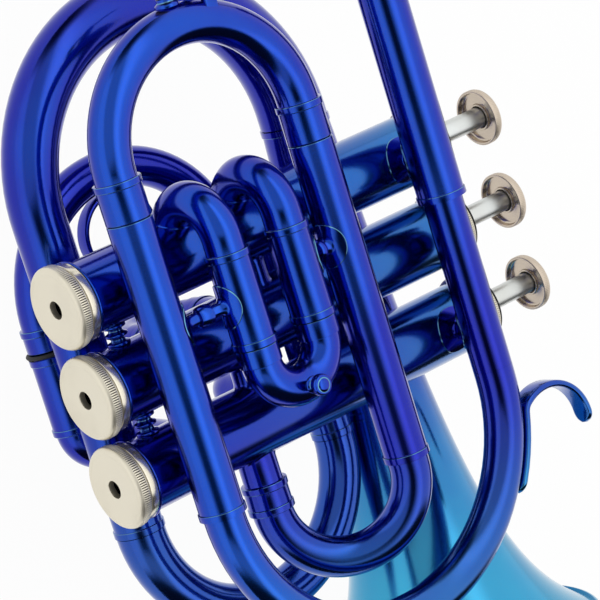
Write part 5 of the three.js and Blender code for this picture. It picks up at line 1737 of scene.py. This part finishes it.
class TRUMPET_OT_braces(Operator):
    """Forms the four braces"""

    bl_idname = "trumpet.braces"
    bl_label = "Braces"

    def execute(self, context):
        sizes, tubes, slides, valves = groups("braces", "tubes", "slides", "valves")
        low_main = Vector((sizes.low_brace, tubes.low, tubes.plane))
        low_slide = Vector((sizes.low_brace, slides.first_low, slides.first_plane))
        high_slide = Vector((sizes.high_brace, slides.first_high, slides.first_plane))
        high_main = Vector((sizes.high_brace, tubes.high, tubes.plane))
        main, slide = tubes.sleeve_radius, slides.sleeve_radius
        self.brace("brace_main_to_first_slide", sizes, (low_main, X, main), (low_slide, X, slide))
        self.brace("brace_first_slide_to_upper_sleeve", sizes, (high_slide, X, slide), (high_main, X, main))
        for node, number, radius in (
            ("rear_leadpipe_brace", 1, tubes.receiver_radius),
            ("front_leadpipe_brace", 3, tubes.leadpipe_radius),
        ):
            foot = Vector((valve_x(number), sizes.leadpipe_brace, 0))
            start = Vector((valve_x(number), tubes.leadpipe_height, tubes.plane))
            self.brace(node, sizes, (start, X, radius), (foot, Y, valves.casing_radius))
        return {"FINISHED"}

    @staticmethod
    def brace(node, sizes, near, far):
        """A rod with a barrel between two saddles, each given by its tube's centre, axis and radius."""
        start, axis, start_radius = near
        end, end_axis, end_radius = far
        along = (end - start).normalized()
        skin = Skin()
        rings = saddle_rings(skin, sizes, start, axis, start_radius, along)
        low = start_radius + sizes.saddle_height + sizes.fillet
        high = (end - start).length - end_radius - sizes.saddle_height - sizes.fillet
        half = min(sizes.barrel_length, (high - low) * 0.7) / 2
        rod, rise = sizes.rod_radius, sizes.barrel_radius - sizes.rod_radius
        middle = (low + high) / 2
        barrel = [(part, sqrt(1 - 0.55 * part * part)) for part in (-0.9, -0.7, -0.4, 0, 0.4, 0.7, 0.9)]
        barrel = [(-1, 0), (-0.97, 0.55), *barrel, (0.97, 0.55), (1, 0)]
        outline = [(middle + half * part, rod + rise * out) for part, out in barrel]
        cross = along.cross(axis)
        for at, radius in ((low, rod), *outline, (high, rod)):
            points = round_points(start + along * at, axis, cross, radius, detail().tube_sides)
            rings.append(skin.ring(points))
        for ring in reversed(saddle_rings(skin, sizes, end, end_axis, end_radius, -along)):
            rings.append(aligned(skin, ring, rings[-1]))
        skin.loft(rings, looped=False).finish(node, "turned")


class TRUMPET_OT_hook(Operator):
    """Bends the little finger's hook"""

    bl_idname = "trumpet.hook"
    bl_label = "Finger hook"

    def execute(self, context):
        sizes, tubes = groups("braces", "tubes")
        half_span = (tubes.leadpipe_height - tubes.low) / 2
        centre = Vector((tubes.low_front + tubes.gap, tubes.low + half_span, tubes.plane))
        hug = half_span + tubes.leadpipe_radius + tubes.gap / 3 + sizes.hook_thickness / 2
        out = Vector((cos(sizes.hook_foot), sin(sizes.hook_foot), 0))
        route = Route(centre + out * hug, Z.cross(out), Z)
        route.bend(hug, -out, sizes.hook_rise - sizes.hook_foot)
        route.bend(sizes.hook_heel, route.heading.cross(Z), sizes.heel_turn)
        route.bend(sizes.hook_curl, route.heading.cross(Z), sizes.curl_turn)
        corner = sizes.hook_thickness * 0.42
        skin = Skin().slab(route, sizes.hook_width, sizes.hook_thickness, corner)
        skin.thinned("hook").finish("little_finger_hook", "bent")
        return {"FINISHED"}


class TRUMPET_OT_stage(Operator):
    """Lays the floor and sets the light and the camera"""

    bl_idname = "trumpet.stage"
    bl_label = "Stage"

    def execute(self, context):
        sizes = group("stage")
        self.floor(sizes)
        self.room(context, sizes)
        self.lamp(sizes)
        self.camera(context, sizes)
        context.scene.view_settings.view_transform = "Standard"
        return {"FINISHED"}

    @staticmethod
    def floor(sizes):
        mesh = bpy.data.meshes.new("floor")
        shell = bmesh.new()
        sides = detail().floor_sides
        bmesh.ops.create_circle(shell, cap_ends=True, segments=sides, radius=sizes.floor_radius)
        shell.to_mesh(mesh)
        shell.free()
        ground = placed("floor", mesh)
        ground.location = (0, 0, CAD_BOX[0][2])
        sheet = finish_sheet("pale_floor")
        _, seen = sheet.seen()
        tint = sheet.blend(sheet.grain(sheet.place(), 900, 3), *with_shade(group("colours").floor, 0.985))
        matt = sheet.node("ShaderNodeBsdfDiffuse", None, {"Color": tint}, 0)
        glow = sheet.node("ShaderNodeEmission", None, {"Color": (1, 1, 1, 1), "Strength": 1}, 0)
        surface = sheet.node("ShaderNodeMixShader", None, {0: seen * 0.96, 1: matt, 2: glow}, 0)
        sheet.node("ShaderNodeOutputMaterial", None, {"Surface": surface})
        mesh.materials.append(sheet.owner)

    @staticmethod
    def room(context, sizes):
        """A white room. Metal mirrors two long light panels over the instrument, with dark gaps."""
        world = bpy.data.worlds.new("studio")
        context.scene.world = world
        sheet = NodeSheet(world)
        ahead, side, up = sheet.parts(sheet.place("Generated"))
        angle = up.angle_from(side)
        fade, slit, edge = sizes.panel_fade, sizes.slit_fade, sizes.panel_edge
        near = angle.ramp(sizes.near_start - fade, sizes.near_start + fade)
        near = near * angle.ramp(sizes.near_end + slit, sizes.near_end - slit)
        far = angle.ramp(sizes.far_start - slit, sizes.far_start + slit)
        wrapped = sizes.far_end - 2 * pi
        low = angle.ramp(wrapped + fade, wrapped - fade)
        middle, reach = sizes.hot_middle, sizes.hot_reach
        hot = angle.ramp(middle - reach, middle) * angle.ramp(middle + reach, middle)
        closed = ahead.ramp(sizes.slit_rear + edge / 2, sizes.slit_rear - edge / 2)
        closed = closed.most(ahead.ramp(sizes.slit_front, sizes.slit_front + edge / 2))
        between = angle.ramp(sizes.near_end - 2 * fade, sizes.near_end)
        between = between * angle.ramp(sizes.far_start + 2 * fade, sizes.far_start) * closed
        ends = ahead.ramp(sizes.panel_low - edge, sizes.panel_low)
        ends = ends * ahead.ramp(sizes.panel_high + edge, sizes.panel_high)
        panels = near.most(far).most(low).most(between * sizes.bridge_level)
        panels = panels * (hot * sizes.hot_gain + 1) * ends
        mirrored = panels * (sizes.panel_level - sizes.dark_level) + sizes.dark_level
        rays, seen = sheet.seen()
        glossy = rays[1] * (1 - rays[0])
        level = seen * (1 - sizes.sky_level) + sizes.sky_level
        strength = level * (1 - glossy) + mirrored * glossy
        light = sheet.node("ShaderNodeBackground", None, {"Color": (1, 1, 1, 1), "Strength": strength}, 0)
        sheet.node("ShaderNodeOutputWorld", None, {"Surface": light})

    @staticmethod
    def lamp(sizes):
        data = bpy.data.lights.new("soft_lamp", "AREA")
        data.energy = sizes.lamp_power
        data.shape = "SQUARE"
        data.size = sizes.lamp_side
        lamp = placed("soft_lamp", data)
        lamp.location = (-sizes.lamp_side / 2, sizes.lamp_side / 2, sizes.lamp_height)
        lamp.rotation_euler = lamp.location.to_track_quat("Z", "Y").to_euler()
        lamp.visible_glossy = False

    @staticmethod
    def camera(context, sizes):
        ahead = Vector(CAMERA_AHEAD).normalized()
        right = Vector(CAMERA_RIGHT).normalized()
        right = (right - ahead * right.dot(ahead)).normalized()
        data = bpy.data.cameras.new("camera")
        data.lens = sizes.lens
        camera = placed("camera", data)
        facing = Matrix((right, right.cross(ahead), -ahead)).transposed().to_4x4()
        camera.matrix_world = Matrix.Translation(sizes.camera) @ facing
        context.scene.camera = camera


OPERATORS = (
    TRUMPET_OT_casings,
    TRUMPET_OT_bottom_caps,
    TRUMPET_OT_top_caps,
    TRUMPET_OT_buttons,
    TRUMPET_OT_main_tubes,
    TRUMPET_OT_main_slide,
    TRUMPET_OT_water_key,
    TRUMPET_OT_mouthpiece,
    TRUMPET_OT_front_crook,
    TRUMPET_OT_first_slide,
    TRUMPET_OT_second_slide,
    TRUMPET_OT_third_slide,
    TRUMPET_OT_branches,
    TRUMPET_OT_bell,
    TRUMPET_OT_braces,
    TRUMPET_OT_hook,
    TRUMPET_OT_stage,
)


class TRUMPET_PT_parts(Panel):
    """Lists the trumpet's pieces"""

    bl_idname = "TRUMPET_PT_parts"
    bl_label = "Trumpet"
    bl_space_type = "VIEW_3D"
    bl_region_type = "UI"
    bl_category = "Trumpet"

    def draw(self, context):
        for operator in OPERATORS:
            self.layout.operator(operator.bl_idname)


CLASSES = (*GROUPS.values(), *OPERATORS, TRUMPET_PT_parts)


def register():
    for cls in CLASSES:
        bpy.utils.register_class(cls)
    for name, cls in GROUPS.items():
        setattr(Scene, f"trumpet_{name}", PointerProperty(type=cls))


def unregister():
    for name in GROUPS:
        delattr(Scene, f"trumpet_{name}")
    for cls in reversed(CLASSES):
        bpy.utils.unregister_class(cls)


def main():
    register()
    for operator in OPERATORS:
        family, name = operator.bl_idname.split(".")
        getattr(getattr(bpy.ops, family), name)()
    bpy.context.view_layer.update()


if __name__ == "__main__":
    main()
